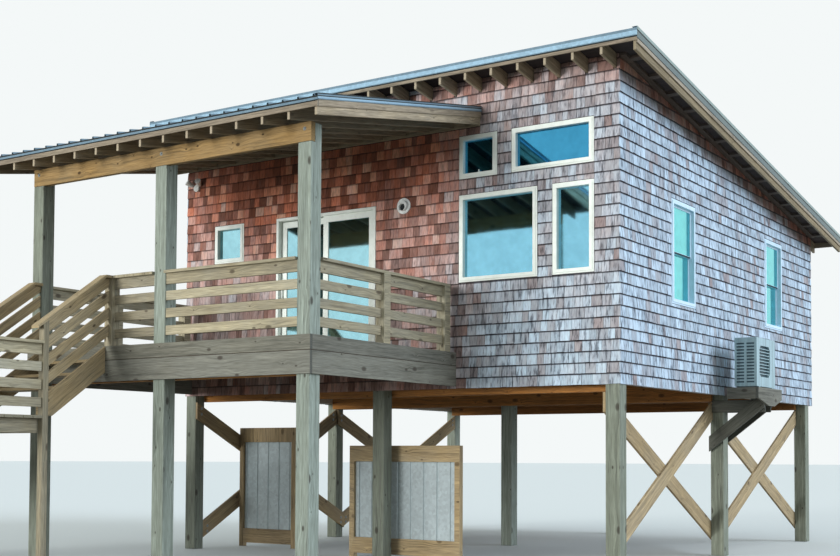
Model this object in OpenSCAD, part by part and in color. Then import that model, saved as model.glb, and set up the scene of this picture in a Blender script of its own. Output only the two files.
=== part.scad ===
// Beach house on piles: a shingled box under a shed roof, with a covered porch,
// an outside stair, a wall-hung air unit and open bracing below the floor.
// Millimetres, +Z up. The origin is the foot of the front right pile, on its axis.
// Front is -Y, right is +X. Heights named "above the walls' foot" start at wall_base.

/* [Walls] */
// Length of the front and back walls
house_w = 7600; // [7200:10:8200]
// Length of the side walls
house_d = 8190; // [7900:10:8800]
// Thickness of the outer walls, cladding included
wall_t = 165; // [140:5:200]
// Height of the walls' foot above the ground
wall_base = 2452; // [2200:10:2900]
// Height of the front wall, from its foot to the rafters
front_wall_h = 4095; // [4000:5:4400]
// Fall of the main roof towards the back, for each metre
main_fall = 146; // [100:2:170]

/* [Floor] */
// Side of the square piles
pile_w = 203; // [180:1:250]
// Distance from the front row of piles to the middle row
mid_row = 3715; // [3400:5:4000]
// Distance from the front row of piles to the back row
back_row = 7830; // [7600:5:7880]
// Thickness of one framing board
board_t = 38; // [35:1:45]
// Height of the floor girders and floor joists
joist_h = 286; // [240:1:300]
// Drop of the girders below the walls' foot
girder_drop = 100; // [60:5:150]
// Thickness of the floor
floor_t = 38; // [30:1:50]
// Spacing of joists and rafters
joist_pitch = 406; // [380:1:610]
// Height of a brace board
brace_h = 235; // [140:1:260]

/* [Windows] */
// Height of every window head above the walls' foot
head_h = 2680; // [2600:5:2750]
// Distance from the right corner to the group of four windows
group_in = 358; // [300:1:500]
// Width of the wide windows in the group
wide_w = 1235; // [1000:5:1300]
// Width of the narrow windows
narrow_w = 610; // [500:5:700]
// Gap between neighbouring windows, across and up
window_gap = 228; // [180:4:260]
// Height of the lower windows in the group
tall_h = 1220; // [1000:5:1400]
// Height of the small windows
small_h = 600; // [500:2:640]
// Distance from the left corner to the porch window
porch_window_in = 590; // [400:5:700]
// Width of the side windows
side_window_w = 885; // [700:5:1000]
// Height of the side windows
side_window_h = 1480; // [1200:5:1600]
// Distance from the front corner to the first side window
side_window_in = 1697; // [1200:5:2000]
// Distance between the two side windows, centre to centre
side_window_pitch = 3945; // [3000:5:4300]
// Distance from the top of the back wall down to the heads of its windows
back_head_drop = 220; // [150:5:400]
// Width of a window frame's face
frame_face = 68; // [50:1:90]

/* [Door] */
// Distance from the right corner to the door
door_in = 3857; // [3700:5:4000]
// Width of the door frame, outside
door_w = 1874; // [1700:2:1900]
// Width of a door leaf's stiles
stile_w = 95; // [70:1:120]

/* [Main roof] */
// Overhang of the roof on every side
main_over = 450; // [350:5:550]
// Height of a rafter
rafter_h = 184; // [140:1:235]
// Thickness of the roof boards
roof_boards_t = 25; // [18:1:40]
// Height of the ribs on the metal sheets
rib_h = 28; // [15:1:40]
// Spacing of the ribs
rib_pitch = 229; // [200:1:305]
// Height of the metal edge trim on the main roof's front
main_trim_h = 98; // [60:1:120]
// Height of the metal edge trim on the main roof's rakes
rake_trim_h = 144; // [100:1:160]
// Height by which the rakes' trim rises above the ribs
rake_up = 24; // [5:1:40]
// Height of the wood strip below the trim, as far as it shows
strip_h = 54; // [40:1:80]
// Spacing of the lookouts on the rakes
lookout_pitch = 610; // [500:5:700]
// Distance from the front wall's face to the first lookout
lookout_in = 130; // [0:5:300]
// Drop of the barge rafters below the other rafters
barge_drop = 20; // [0:1:60]

/* [Porch] */
// Depth of the deck, from the front wall to its front edge
deck_d = 3253; // [3000:1:3500]
// Distance from the right corner of the walls to the right edge of the deck
deck_in = 2470; // [2400:1:2600]
// Distance between the porch posts, centre to centre
post_pitch = 2380; // [2200:1:2450]
// Height of the deck above the walls' foot
deck_h = 487; // [450:1:520]
// Height of the upper rim board
rim_top_h = 184; // [140:1:200]
// Height of the lower rim board
rim_low_h = 286; // [240:1:300]
// Height of the porch beam's underside above the walls' foot
beam_z = 2800; // [2700:5:2900]
// Height of the porch beam
beam_h = 235; // [184:1:286]
// Height of the ledger that carries the porch roof at the wall
ledger_h = 206; // [190:2:240]
// Fall of the porch roof towards the front, for each metre
porch_fall = 188; // [150:2:215]
// Overhang of the porch roof at the front and the sides
porch_over = 400; // [300:5:450]
// Height of the metal edge trim on the porch roof's front
porch_trim_h = 40; // [30:1:80]
// Height of the wood strip below the porch roof's trim, as far as it shows
porch_strip_h = 76; // [40:1:90]

/* [Rails] */
// Height of the rails above the deck, with the cap
rail_h = 938; // [900:1:1070]
// Side of the deck's rail posts
deck_post_w = 140; // [89:1:150]
// Side of the posts of the stair, the landing and the screens
rail_post_w = 89; // [80:1:100]
// Height of a rail board
rail_board_h = 140; // [120:1:150]
// Width of the cap board
cap_w = 140; // [120:1:150]
// Distance from the wall to the last post of a side rail
end_post_in = 160; // [60:5:300]
// Height by which the stair's rails rise above the line of the other rails
stair_rail_up = 66; // [0:2:80]

/* [Stair] */
// Height of one step of the upper flight
riser = 190; // [170:1:195]
// Run of one step
going = 275; // [255:1:300]
// Steps from the deck down to the landing
upper_steps = 5; // [4:1:6]
// Steps from the landing down to the ground
lower_steps = 11; // [10:1:12]
// Width of the stair between its stringers
stair_w = 1250; // [1000:5:1400]
// Depth of the landing
landing_d = 1300; // [1200:5:1500]

/* [Air unit] */
// Width of the air unit along the wall
ac_w = 830; // [700:5:950]
// Depth of the air unit
ac_d = 340; // [280:5:380]
// Height of the air unit
ac_h = 725; // [550:5:800]
// Distance from the wall to the air unit
ac_gap = 320; // [250:5:400]
// Top of the shelf above the walls' foot
shelf_h = 85; // [60:1:150]
// Length of the shelf along the wall; it is centred on the middle pile
shelf_w = 1080; // [1000:5:1200]
// Distance from the wall to the shelf's inner edge
shelf_gap = 220; // [150:5:260]
// Distance from the wall to the shelf's outer edge
shelf_out = 700; // [680:5:760]

/* [Small pieces] */
// Distance from the right corner to the wall vent
vent_in = 3363; // [3000:1:3800]
// Distance from the window heads' line down to the vent's centre
vent_drop = 48; // [0:2:200]
// Distance from the left corner to the flood light
light_in = 198; // [120:2:400]
// Height of the flood light above the walls' foot
light_h = 3340; // [3000:5:3500]

/* [Screens under the floor] */
// Distance from the right corner to the right screen
right_screen_in = 2600; // [2200:10:3000]
// Distance from the left corner to the left screen
left_screen_in = 260; // [200:10:600]
// Distance from the front wall's face back to the left screen
left_screen_back = 1000; // [600:10:2000]
// Width of the right screen
right_screen_w = 1940; // [1500:5:2000]
// Height of the right screen
right_screen_h = 1650; // [1400:5:1800]
// Width of the left screen
left_screen_w = 1190; // [900:5:1300]
// Height of the left screen
left_screen_h = 1950; // [1700:5:2100]

/* [Hidden] */
$fn = 32;

// Gap that keeps neighbouring boards of one sub-part apart
seam = 2;
// Play between a sloping face and what lies on it
bed_gap = 0.5;
// Clearance round a frame that is set into an opening
fit_gap = 5;
// Clearance of the sliding leaf on every side
slide_gap = 8;

// Outer faces of the walls
wx1 = pile_w / 2;
wx0 = wx1 - house_w;
wy0 = -pile_w / 2;
wy1 = wy0 + house_d;

// Rows and columns of piles, by the centre of each pile
pile_ys = [0, mid_row, back_row];
pile_xs = [0, -(house_w - pile_w) / 2, -(house_w - pile_w)];

// Levels of the floor
girder_z = wall_base - girder_drop;
girder_t = 2 * board_t;
joist_z = girder_z + joist_h;
floor_z = joist_z + joist_h;
floor_top = floor_z + floor_t;

// Main roof: height of the rafters' underside over a point at depth y
main_slope = main_fall / 1000;
function main_z(y) = wall_base + front_wall_h - main_slope * (y - wy0);
rafter_rise = rafter_h * sqrt(1 + main_slope * main_slope) - bed_gap;
main_deck_up = rafter_rise + bed_gap + roof_boards_t;
fascia_t = 19;
trim_t = 4;
pan_t = 5;
main_y0 = wy0 - main_over;
main_y1 = wy1 + main_over;
main_x0 = wx0 - main_over;
main_x1 = wx1 + main_over;
// Outer end of the framing, behind the strip and the trim
frame_in = fascia_t + trim_t;

// Deck and porch
deck_top = wall_base + deck_h;
deck_t = 25;
deck_x1 = wx1 - deck_in;
deck_y0 = wy0 - deck_d;
deck_x0 = deck_x1 - 2 * post_pitch - pile_w - 2 * board_t;
post_x = [for (i = [0:2]) deck_x1 - board_t - pile_w / 2 - i * post_pitch];
post_y = deck_y0 + board_t + pile_w / 2;
beam_t = 2 * board_t;
beam_top = wall_base + beam_z + beam_h;
beam_y = post_y - pile_w / 2;

// Porch roof: height of the rafters' underside over a point at depth y
porch_slope = porch_fall / 1000;
function porch_z(y) = beam_top + porch_slope * (y - beam_y);
porch_rise = rafter_h * sqrt(1 + porch_slope * porch_slope) - bed_gap;
porch_deck_up = porch_rise + bed_gap + roof_boards_t;
porch_y0 = deck_y0 - porch_over;
porch_x1 = deck_x1 + porch_over;
porch_x0 = deck_x0 - porch_over;

// Stair: the upper flight runs forward from the deck, the lower one to the left
landing_top = deck_top - upper_steps * riser;
lower_riser = landing_top / lower_steps;
tread_t = board_t;
stringer_h = 286;
stair_x0 = post_x[2] + pile_w / 2 + board_t;
stair_x1 = stair_x0 + stair_w;
// From the treads' ends to the outer faces of the stair's posts
stair_side = board_t + rail_post_w;
landing_y1 = deck_y0 - (upper_steps - 1) * going;
landing_y0 = landing_y1 - landing_d;
landing_x1 = stair_x1 + stair_side;
landing_x0 = stair_x0 - stair_side;
stair_slope = riser / going;

// Rail boards: four below the cap, at an even pitch, in line with the middle of the posts
cap_t = 38;
rail_board_count = 4;
rail_pitch = (rail_h - cap_t) / rail_board_count;

// Colours
pine = "#b59a6a";
grey_pine = "#8f9078";
cedar = "#8d6a62";
tan_strip = "#a08a62";
galvanised = "#c3c9cc";
vinyl = "#f0efe6";
pane = [0.55, 0.7, 0.75, 0.5];

// General shapes

// Box from corner a to corner b
module box(a, b) {
  translate(a) cube(b - a);
}

// Prism along X from x0 to x1, over an outline given as [y, z] points
module prism_x(x0, x1, outline) {
  translate([x0, 0, 0]) rotate([90, 0, 90]) linear_extrude(x1 - x0) polygon(outline);
}

// Prism along Y from y0 to y1, over an outline given as [x, z] points
module prism_y(y0, y1, outline) {
  translate([0, y1, 0]) rotate([90, 0, 0]) linear_extrude(y1 - y0) polygon(outline);
}

// Sloping slab of the main roof, from up0 to up1 above the rafters' underside
module main_slab(x0, x1, y0, y1, up0, up1) {
  prism_x(x0, x1, [
    [y0, main_z(y0) + up0], [y1, main_z(y1) + up0],
    [y1, main_z(y1) + up1], [y0, main_z(y0) + up1]
  ]);
}

// Sloping slab of the porch roof, from up0 to up1 above the rafters' underside
module porch_slab(x0, x1, y0, y1, up0, up1) {
  prism_x(x0, x1, [
    [y0, porch_z(y0) + up0], [y1, porch_z(y1) + up0],
    [y1, porch_z(y1) + up1], [y0, porch_z(y0) + up1]
  ]);
}

// Board from point a to point b in a vertical plane, its ends cut plumb; points are [y, z]
function plumb_board(a, b, h) =
  let (k = h / 2 * norm(b - a) / abs(b[0] - a[0]))
  [a - [0, k], b - [0, k], b + [0, k], a + [0, k]];

// Foundation and floor

// The outer piles end at the walls' foot, the centre one carries the joists' girders
module house_piles() {
  color(grey_pine)
    for (i = [0:2], j = [0:2])
      let (x = pile_xs[i], y = pile_ys[j], top = (i == 1 && j == 1) ? joist_z : wall_base)
        box([x - pile_w / 2, y - pile_w / 2, 0], [x + pile_w / 2, y + pile_w / 2, top]);
}

module porch_posts() {
  color(grey_pine)
    for (x = post_x) difference() {
      box([x - pile_w / 2, post_y - pile_w / 2, 0], [x + pile_w / 2, post_y + pile_w / 2, beam_top]);
      box([x - pile_w, beam_y - 1, beam_top - beam_h], [x + pile_w, beam_y + beam_t, beam_top + 1]);
    }
}

// Girders on the inner faces of the front and back rows, and on both faces of the middle row
girder_faces = [[0, 1], [1, -1], [1, 1], [2, -1]];
module floor_girders() {
  color(pine)
    for (g = girder_faces)
      let (face = pile_ys[g[0]] + g[1] * pile_w / 2, y0 = g[1] > 0 ? face : face - girder_t)
        box([wx0 + wall_t, y0, girder_z], [wx1 - wall_t, y0 + girder_t, joist_z]);
}

joist_count = floor((house_w - 2 * wall_t - board_t) / joist_pitch);
module floor_joists() {
  color(pine)
    for (i = [0:joist_count])
      let (x = wx1 - wall_t - seam - board_t - i * joist_pitch)
        box([x, wy0 + wall_t + seam, joist_z], [x + board_t, wy1 - wall_t - seam, floor_z]);
}

module house_floor() {
  color(pine) box([wx0 + wall_t, wy0 + wall_t, floor_z], [wx1 - wall_t, wy1 - wall_t, floor_top]);
}

// Braces between the outer piles, right and left: the falling boards are on the piles' inner
// faces, the rising ones butt between the piles, right beside them
brace_low = 190;
brace_below = 25;
brace_z = [brace_low + brace_h / 2, girder_z - brace_below - brace_h / 2];
right_brace_x = -pile_w / 2;
left_brace_x = pile_xs[2] + pile_w / 2;

module falling_braces() {
  color(pine)
    for (bay = [0, 1], x = [right_brace_x - board_t, left_brace_x])
      prism_x(x, x + board_t, plumb_board(
        [pile_ys[bay] - pile_w / 2 + seam, brace_z[1]],
        [pile_ys[bay + 1] + pile_w / 2 - seam, brace_z[0]], brace_h));
}

module rising_braces() {
  color(pine)
    for (bay = [0, 1], x = [right_brace_x, left_brace_x - board_t])
      prism_x(x, x + board_t, plumb_board(
        [pile_ys[bay] + pile_w / 2, brace_z[0]],
        [pile_ys[bay + 1] - pile_w / 2, brace_z[1]], brace_h));
}

// Walls

// Bevelled outline of a wall that runs along X between depths y0 and y1
module long_wall(x0, x1, y0, y1, z0) {
  prism_x(x0, x1, [[y0, z0], [y1, z0], [y1, main_z(y1) - bed_gap], [y0, main_z(y0) - bed_gap]]);
}

// Each front window: left edge, foot above the walls' foot, width, height
group_x0 = wx1 - group_in - narrow_w - window_gap - wide_w;
upper_z = head_h + window_gap;
front_windows = [
  [wx1 - group_in - narrow_w, head_h - tall_h, narrow_w, tall_h],
  [group_x0, head_h - tall_h, wide_w, tall_h],
  [wx1 - group_in - wide_w, upper_z, wide_w, small_h],
  [group_x0, upper_z, narrow_w, small_h],
  [wx0 + porch_window_in, head_h - small_h, narrow_w, small_h]
];
side_windows = [for (i = [0, 1]) wy0 + side_window_in + i * side_window_pitch];
side_window_z = head_h - side_window_h;

// Width by which a window's flange laps the wall round its opening
flange_lap = 22;

// Hole in the wall for a window w by h, its flange's corner at the local origin
module window_hole(w, h) {
  box([flange_lap, -1, flange_lap], [w - flange_lap, wall_t + 1, h - flange_lap]);
}

door_x1 = wx1 - door_in;
door_x0 = door_x1 - door_w;
door_top = wall_base + head_h;
// Height of the door frame, outside: it stands on the floor, its head in line with the windows'
door_h = door_top - floor_top;

// Cladding that runs up past the outer rafter to the roof boards, on the side at face x
rafter_in = 35;
lip_t = rafter_in - seam;
lip_root = 30;
module rake_lip(x, y0, y1) {
  main_slab(x > 0 ? x - lip_t : x, x > 0 ? x : x + lip_t, y0, y1, -lip_root, rafter_rise);
}

module front_window_holes() {
  for (w = front_windows) translate([w[0], wy0, wall_base + w[1]]) window_hole(w[2], w[3]);
}

module front_wall_left() {
  color(cedar) {
    difference() {
      long_wall(wx0, door_x0 + flange_lap, wy0, wy0 + wall_t, wall_base);
      front_window_holes();
    }
    rake_lip(wx0, wy0, wy0 + wall_t);
  }
}

module front_wall_right() {
  color(cedar) {
    difference() {
      long_wall(door_x1 - flange_lap, wx1, wy0, wy0 + wall_t, wall_base);
      front_window_holes();
    }
    rake_lip(wx1, wy0, wy0 + wall_t);
  }
}

module front_wall_over_door() {
  color(cedar) {
    long_wall(door_x0 + flange_lap, door_x1 - flange_lap, wy0, wy0 + wall_t, door_top - flange_lap);
    box([door_x0 + flange_lap, wy0, wall_base], [door_x1 - flange_lap, wy0 + wall_t, floor_top]);
  }
}

module back_wall() {
  color(cedar) {
    difference() {
      long_wall(wx0, wx1, wy1 - wall_t, wy1, wall_base);
      for (x = back_windows) translate([x + side_window_w, wy1, wall_base + back_window_z])
        rotate([0, 0, 180]) window_hole(side_window_w, side_window_h);
    }
    for (x = [wx0, wx1]) rake_lip(x, wy1 - wall_t, wy1);
  }
}
back_windows = [for (i = [0, 1]) (wx0 + wx1 - side_window_w) / 2 + (i - 0.5) * side_window_pitch];
back_window_z = main_z(wy1) - wall_base - back_head_drop - side_window_h;

module side_wall(x0, x1) {
  prism_x(x0, x1, [
    [wy0 + wall_t, wall_base], [wy1 - wall_t, wall_base],
    [wy1 - wall_t, main_z(wy1 - wall_t) - bed_gap], [wy0 + wall_t, main_z(wy0 + wall_t) - bed_gap]
  ]);
  rake_lip(x0 > wx0 ? x1 : x0, wy0 + wall_t, wy1 - wall_t);
}

module right_wall() {
  color(cedar) difference() {
    side_wall(wx1 - wall_t, wx1);
    for (y = side_windows) translate([wx1, y, wall_base + side_window_z])
      rotate([0, 0, 90]) window_hole(side_window_w, side_window_h);
  }
}

module left_wall() {
  color(cedar) difference() {
    side_wall(wx0, wx0 + wall_t);
    for (y = side_windows) translate([wx0, y + side_window_w, wall_base + side_window_z])
      rotate([0, 0, -90]) window_hole(side_window_w, side_window_h);
  }
}

// Main roof

// Left faces of the main rafters; the first and the last stand on the side walls
rafter_first = wx1 - rafter_in - board_t;
rafter_last = wx0 + rafter_in;
rafter_count = floor((rafter_first - rafter_last) / joist_pitch);
rafter_xs = concat(
  [for (i = [0:rafter_count]) if (rafter_first - i * joist_pitch > rafter_last + 2 * board_t)
    rafter_first - i * joist_pitch],
  [rafter_last]
);

module main_rafters() {
  color(pine)
    for (x = rafter_xs)
      main_slab(x, x + board_t, main_y0 + frame_in, main_y1 - frame_in, 0, rafter_rise);
}

// Blocks that close the gaps between the rafters over the front and back walls
module eave_blocks() {
  block_t = 60;
  color(cedar)
    for (i = [0:len(rafter_xs) - 2], y = [wy0, wy1 - block_t])
      main_slab(rafter_xs[i + 1] + board_t + seam, rafter_xs[i] - seam, y, y + block_t, 0, rafter_rise);
}

// Flat boards that carry the rakes: one along each side wall, with lookouts from it to the
// barge rafter
lookout_w = 89;
lookout_gaps = floor((house_d - lookout_in - lookout_w) / lookout_pitch);
module lookouts() {
  up0 = rafter_rise - board_t;
  color(pine)
    for (side = [-1, 1])
      let (
        wall = side > 0 ? wx1 : wx0,
        edge = wall + side * (main_over - frame_in - board_t)
      ) {
        main_slab(min(wall, wall + side * lookout_w), max(wall, wall + side * lookout_w),
          wy0, wy1, up0, rafter_rise);
        for (i = [0:lookout_gaps])
          let (y = wy0 + lookout_in + i * lookout_pitch)
            main_slab(min(wall, edge), max(wall, edge), y, y + lookout_w, up0, rafter_rise);
      }
}

module barge_rafters() {
  color(pine)
    for (x = [main_x0 + frame_in, main_x1 - frame_in - board_t])
      main_slab(x, x + board_t, main_y0 + frame_in, main_y1 - frame_in, -barge_drop, rafter_rise);
}

module main_roof_boards() {
  color(tan_strip)
    main_slab(main_x0 + frame_in, main_x1 - frame_in, main_y0 + frame_in, main_y1 - frame_in,
      rafter_rise + bed_gap, main_deck_up);
}

// Wood strips round the roof's edge, partly behind the trim
module main_fascia() {
  front_low = main_top_up - main_trim_h - strip_h;
  rake_low = main_top_up + rake_up - rake_trim_h - strip_h;
  color(tan_strip) {
    for (x = [main_x0 + trim_t, main_x1 - frame_in])
      main_slab(x, x + fascia_t, main_y0 + frame_in + seam, main_y1 - frame_in - seam,
        rake_low, main_deck_up);
    for (y = [main_y0 + trim_t, main_y1 - frame_in])
      main_slab(main_x0 + trim_t, main_x1 - trim_t, y, y + fascia_t, front_low, main_deck_up);
  }
}

// Ribbed sheet: flat pans with a raised, hollow rib at every pitch, as [x, z] points
rib_w = 44;
rib_crest = 20;
// Top of the ribs above the rafters' underside
main_top_up = main_deck_up + bed_gap + (pan_t + rib_h) * sqrt(1 + main_slope * main_slope);
// Distance from the trim's outer face to the sheets' edges
sheet_in = trim_t + 8;
function rib_outline(x0, x1, t, h) =
  let (
    n = floor((x1 - x0 - rib_w) / rib_pitch),
    start = (x0 + x1 - n * rib_pitch) / 2,
    top = [for (i = [0:n]) let (x = start + i * rib_pitch)
      each [[x - rib_w / 2, t], [x - rib_crest / 2, t + h], [x + rib_crest / 2, t + h], [x + rib_w / 2, t]]],
    under = [for (i = [n:-1:0]) let (x = start + i * rib_pitch)
      each [[x + rib_w / 2 - t, 0], [x + rib_crest / 2 - t / 2, h], [x - rib_crest / 2 + t / 2, h],
        [x - rib_w / 2 + t, 0]]]
  ) concat([[x0, 0], [x0, t]], top, [[x1, t], [x1, 0]], under);

// Sheet that starts behind the front trim and reaches to the face of the back one
module main_roof_metal() {
  color(galvanised)
    sheet_on_slope(main_x0 + sheet_in, main_x1 - sheet_in, main_y0 + sheet_in, main_y1,
      -main_slope, main_z(main_y0 + sheet_in) + main_deck_up + bed_gap);
}

// Sheet drawn level and turned to its slope
module sheet_on_slope(x0, x1, y0, y1, slope, z) {
  angle = atan(slope);
  length = (y1 - y0) / cos(angle);
  translate([0, y0, z]) rotate([angle, 0, 0]) prism_y(0, length, rib_outline(x0, x1, pan_t, rib_h));
}

// Edge trim: a face plate with a lip at its foot and a flange over the ribs. The front's trim
// closes the ribs' high ends; at the back, the low edge, the plate ends below the sheet.
flange_in = 70;
lip_out = 6;
lip_h = 12;
module main_roof_trim() {
  rake_top = main_top_up + rake_up;
  front_low = main_top_up - main_trim_h;
  rake_low = rake_top - rake_trim_h;
  color(galvanised) {
    for (side = [-1, 1])
      let (
        x = side > 0 ? main_x1 : main_x0,
        y0 = main_y0 + trim_t + seam,
        y1 = main_y1 - trim_t - seam
      ) {
        main_slab(min(x, x - side * trim_t), max(x, x - side * trim_t), y0, y1, rake_low, rake_top);
        main_slab(min(x, x - side * flange_in), max(x, x - side * flange_in), y0, y1,
          rake_top - trim_t, rake_top);
        main_slab(min(x, x + side * lip_out), max(x, x + side * lip_out), y0, y1,
          rake_low, rake_low + lip_h);
      }
    main_slab(main_x0, main_x1, main_y0, main_y0 + trim_t, front_low, main_top_up + trim_t);
    main_slab(main_x0 + flange_in + seam, main_x1 - flange_in - seam, main_y0, main_y0 + flange_in,
      main_top_up + bed_gap, main_top_up + trim_t);
    main_slab(main_x0, main_x1, main_y0 - lip_out, main_y0, front_low, front_low + lip_h);
    main_slab(main_x0, main_x1, main_y1 - trim_t, main_y1, front_low, main_deck_up);
    main_slab(main_x0, main_x1, main_y1, main_y1 + lip_out, front_low, front_low + lip_h);
  }
}

// Porch roof

module porch_beam() {
  color(pine)
    box([post_x[2] - pile_w / 2, beam_y, beam_top - beam_h],
      [post_x[0] + pile_w / 2, beam_y + beam_t, beam_top]);
}

module porch_ledger() {
  color(pine)
    porch_slab(porch_x0 + frame_in, porch_x1 - frame_in, wy0 - board_t, wy0,
      porch_rise - ledger_h, porch_rise);
}

// Left faces of the porch rafters; the outermost two are the barge rafters
porch_first = porch_x1 - frame_in - board_t;
porch_last = porch_x0 + frame_in;
porch_count = floor((porch_first - porch_last) / joist_pitch);
porch_rafter_xs = concat(
  [for (i = [0:porch_count]) if (porch_first - i * joist_pitch > porch_last + 2 * board_t)
    porch_first - i * joist_pitch],
  [porch_last]
);

module porch_rafters() {
  color(pine)
    for (x = porch_rafter_xs)
      porch_slab(x, x + board_t, porch_y0 + frame_in, wy0 - board_t, 0, porch_rise);
}

module porch_roof_boards() {
  color(tan_strip)
    porch_slab(porch_x0 + frame_in, porch_x1 - frame_in, porch_y0 + frame_in, wy0,
      porch_rise + bed_gap, porch_deck_up);
}

// Top of the ribs and foot of the trims above the rafters' underside
porch_top_up = porch_deck_up + bed_gap + (pan_t + rib_h) * sqrt(1 + porch_slope * porch_slope);
porch_trim_low = porch_deck_up - porch_trim_h;

module porch_fascia() {
  low = porch_trim_low - porch_strip_h;
  color(tan_strip) {
    for (x = [porch_x0 + trim_t, porch_x1 - frame_in])
      porch_slab(x, x + fascia_t, porch_y0 + frame_in + seam, wy0 - seam, low, porch_deck_up);
    porch_slab(porch_x0 + trim_t, porch_x1 - trim_t, porch_y0 + trim_t, porch_y0 + frame_in,
      low, porch_deck_up);
  }
}

// The sheet's lower edge ends in line with the front trim, so that the ribs' open ends show
module porch_roof_metal() {
  color(galvanised)
    sheet_on_slope(porch_x0 + sheet_in, porch_x1 - sheet_in, porch_y0, wy0 - seam,
      porch_slope, porch_z(porch_y0) + porch_deck_up + bed_gap);
}

module porch_roof_trim() {
  top = porch_top_up + trim_t;
  color(galvanised) {
    for (side = [-1, 1])
      let (
        x = side > 0 ? porch_x1 : porch_x0,
        y0 = porch_y0 + trim_t + seam,
        y1 = wy0 - seam
      ) {
        porch_slab(min(x, x - side * trim_t), max(x, x - side * trim_t), y0, y1, porch_trim_low, top);
        porch_slab(min(x, x - side * flange_in), max(x, x - side * flange_in), y0, y1,
          porch_top_up + bed_gap, top);
        porch_slab(min(x, x + side * lip_out), max(x, x + side * lip_out), y0, y1,
          porch_trim_low, porch_trim_low + lip_h);
      }
    porch_slab(porch_x0, porch_x1, porch_y0, porch_y0 + trim_t, porch_trim_low, porch_deck_up);
    porch_slab(porch_x0, porch_x1, porch_y0 - lip_out, porch_y0, porch_trim_low, porch_trim_low + lip_h);
  }
}

// Deck

deck_joist_h = rim_top_h - deck_t;
deck_joist_z = deck_top - rim_top_h;
module deck_girder() {
  y = post_y + pile_w / 2;
  color(pine)
    box([post_x[2] - pile_w / 2, y, deck_joist_z - rim_low_h],
      [post_x[0] + pile_w / 2, y + beam_t, deck_joist_z]);
}

module deck_joists() {
  n = floor((deck_x1 - deck_x0 - 3 * board_t) / joist_pitch);
  color(pine) {
    for (i = [0:n])
      let (x = deck_x1 - 2 * board_t - seam - i * joist_pitch, y0 = deck_y0 + 2 * board_t + pile_w)
        box([x, y0, deck_joist_z], [x + board_t, wy0 - board_t - seam, deck_joist_z + deck_joist_h]);
    box([deck_x0 + board_t, wy0 - board_t, deck_joist_z],
      [deck_x1 - board_t, wy0, deck_joist_z + deck_joist_h]);
  }
}

// Deck floor, cut out round the three posts
module deck_floor() {
  color(pine) difference() {
    box([deck_x0 + board_t, deck_y0 + board_t, deck_top - deck_t], [deck_x1 - board_t, wy0, deck_top]);
    for (x = post_x)
      box([x - pile_w / 2 - seam, post_y - pile_w / 2 - 1, deck_top - deck_t - 1],
        [x + pile_w / 2 + seam, post_y + pile_w / 2 + seam, deck_top + 1]);
  }
}

// Two courses of rim boards round the deck
module deck_rim() {
  color(pine)
    for (course = [[deck_joist_z, deck_top], [deck_joist_z - rim_low_h, deck_joist_z - seam]]) {
      box([deck_x0, deck_y0, course[0]], [deck_x1, deck_y0 + board_t, course[1]]);
      for (x = [deck_x0, deck_x1 - board_t])
        box([x, deck_y0 + board_t + seam, course[0]], [x + board_t, wy0, course[1]]);
    }
}

// Rails

// Rails stand in the local XZ plane; their outer side is towards -Y, and w is the width of their
// posts. Points are [x, z], with z on the walking surface or on the steps' edges.

// Boards between points a and b, in line with the middle of the posts
module rail_boards(a, b, w) {
  k = rail_board_h * sqrt(1 + pow((b[1] - a[1]) / (b[0] - a[0]), 2));
  for (i = [0:rail_board_count - 1])
    let (up = rail_h - cap_t / 2 - i * rail_pitch, low = up - k + (i == 0 ? -cap_t / 2 : 0))
      prism_y((w - board_t) / 2, (w + board_t) / 2, [
        [a[0], a[1] + low], [b[0], b[1] + low], [b[0], b[1] + up - (i == 0 ? 0 : cap_t / 2)],
        [a[0], a[1] + up - (i == 0 ? 0 : cap_t / 2)]
      ]);
}

// Cap board over the boards from a to b
module rail_cap(a, b, w) {
  prism_y((w - cap_w) / 2, (w + cap_w) / 2, [
    [a[0], a[1] + rail_h - cap_t], [b[0], b[1] + rail_h - cap_t],
    [b[0], b[1] + rail_h], [a[0], a[1] + rail_h]
  ]);
}

// Post from x0 on, between heights z0 and z1; the top slopes where a cap covers it
module rail_post(x0, z0, z1, w, slope = 0) {
  prism_y(0, w, [[x0, z0], [x0 + w, z0], [x0 + w, z1 + slope * w], [x0, z1]]);
}

// Level rail from x = 0 on a surface at height z, with boards and cap cut between its posts
module level_rail(length, posts, z, w) {
  starts = concat([0], [for (x = posts) x + w]);
  ends = concat(posts, [length]);
  for (i = [0:len(posts)])
    if (ends[i] > starts[i]) {
      rail_boards([starts[i], z], [ends[i], z], w);
      rail_cap([starts[i], z], [ends[i], z], w);
    }
  for (x = posts) rail_post(x, z, z + rail_h, w);
}

// Sides of the deck, from the corner post to a post near the wall, with one post between them
side_rail_length = wy0 - end_post_in - post_y - pile_w / 2;
side_end_post = side_rail_length - deck_post_w;
side_mid_post = (side_end_post - pile_w / 2 - deck_post_w / 2) / 2;

module side_rail() {
  level_rail(side_end_post, [side_mid_post], deck_top, deck_post_w);
  rail_post(side_end_post, deck_top, deck_top + rail_h, deck_post_w);
}

module right_rail() {
  color(pine) translate([deck_x1, post_y + pile_w / 2, 0]) rotate([0, 0, 90]) side_rail();
}

module left_rail() {
  color(pine)
    mirror([1, 0, 0]) translate([-deck_x0, post_y + pile_w / 2, 0]) rotate([0, 0, 90]) side_rail();
}

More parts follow.
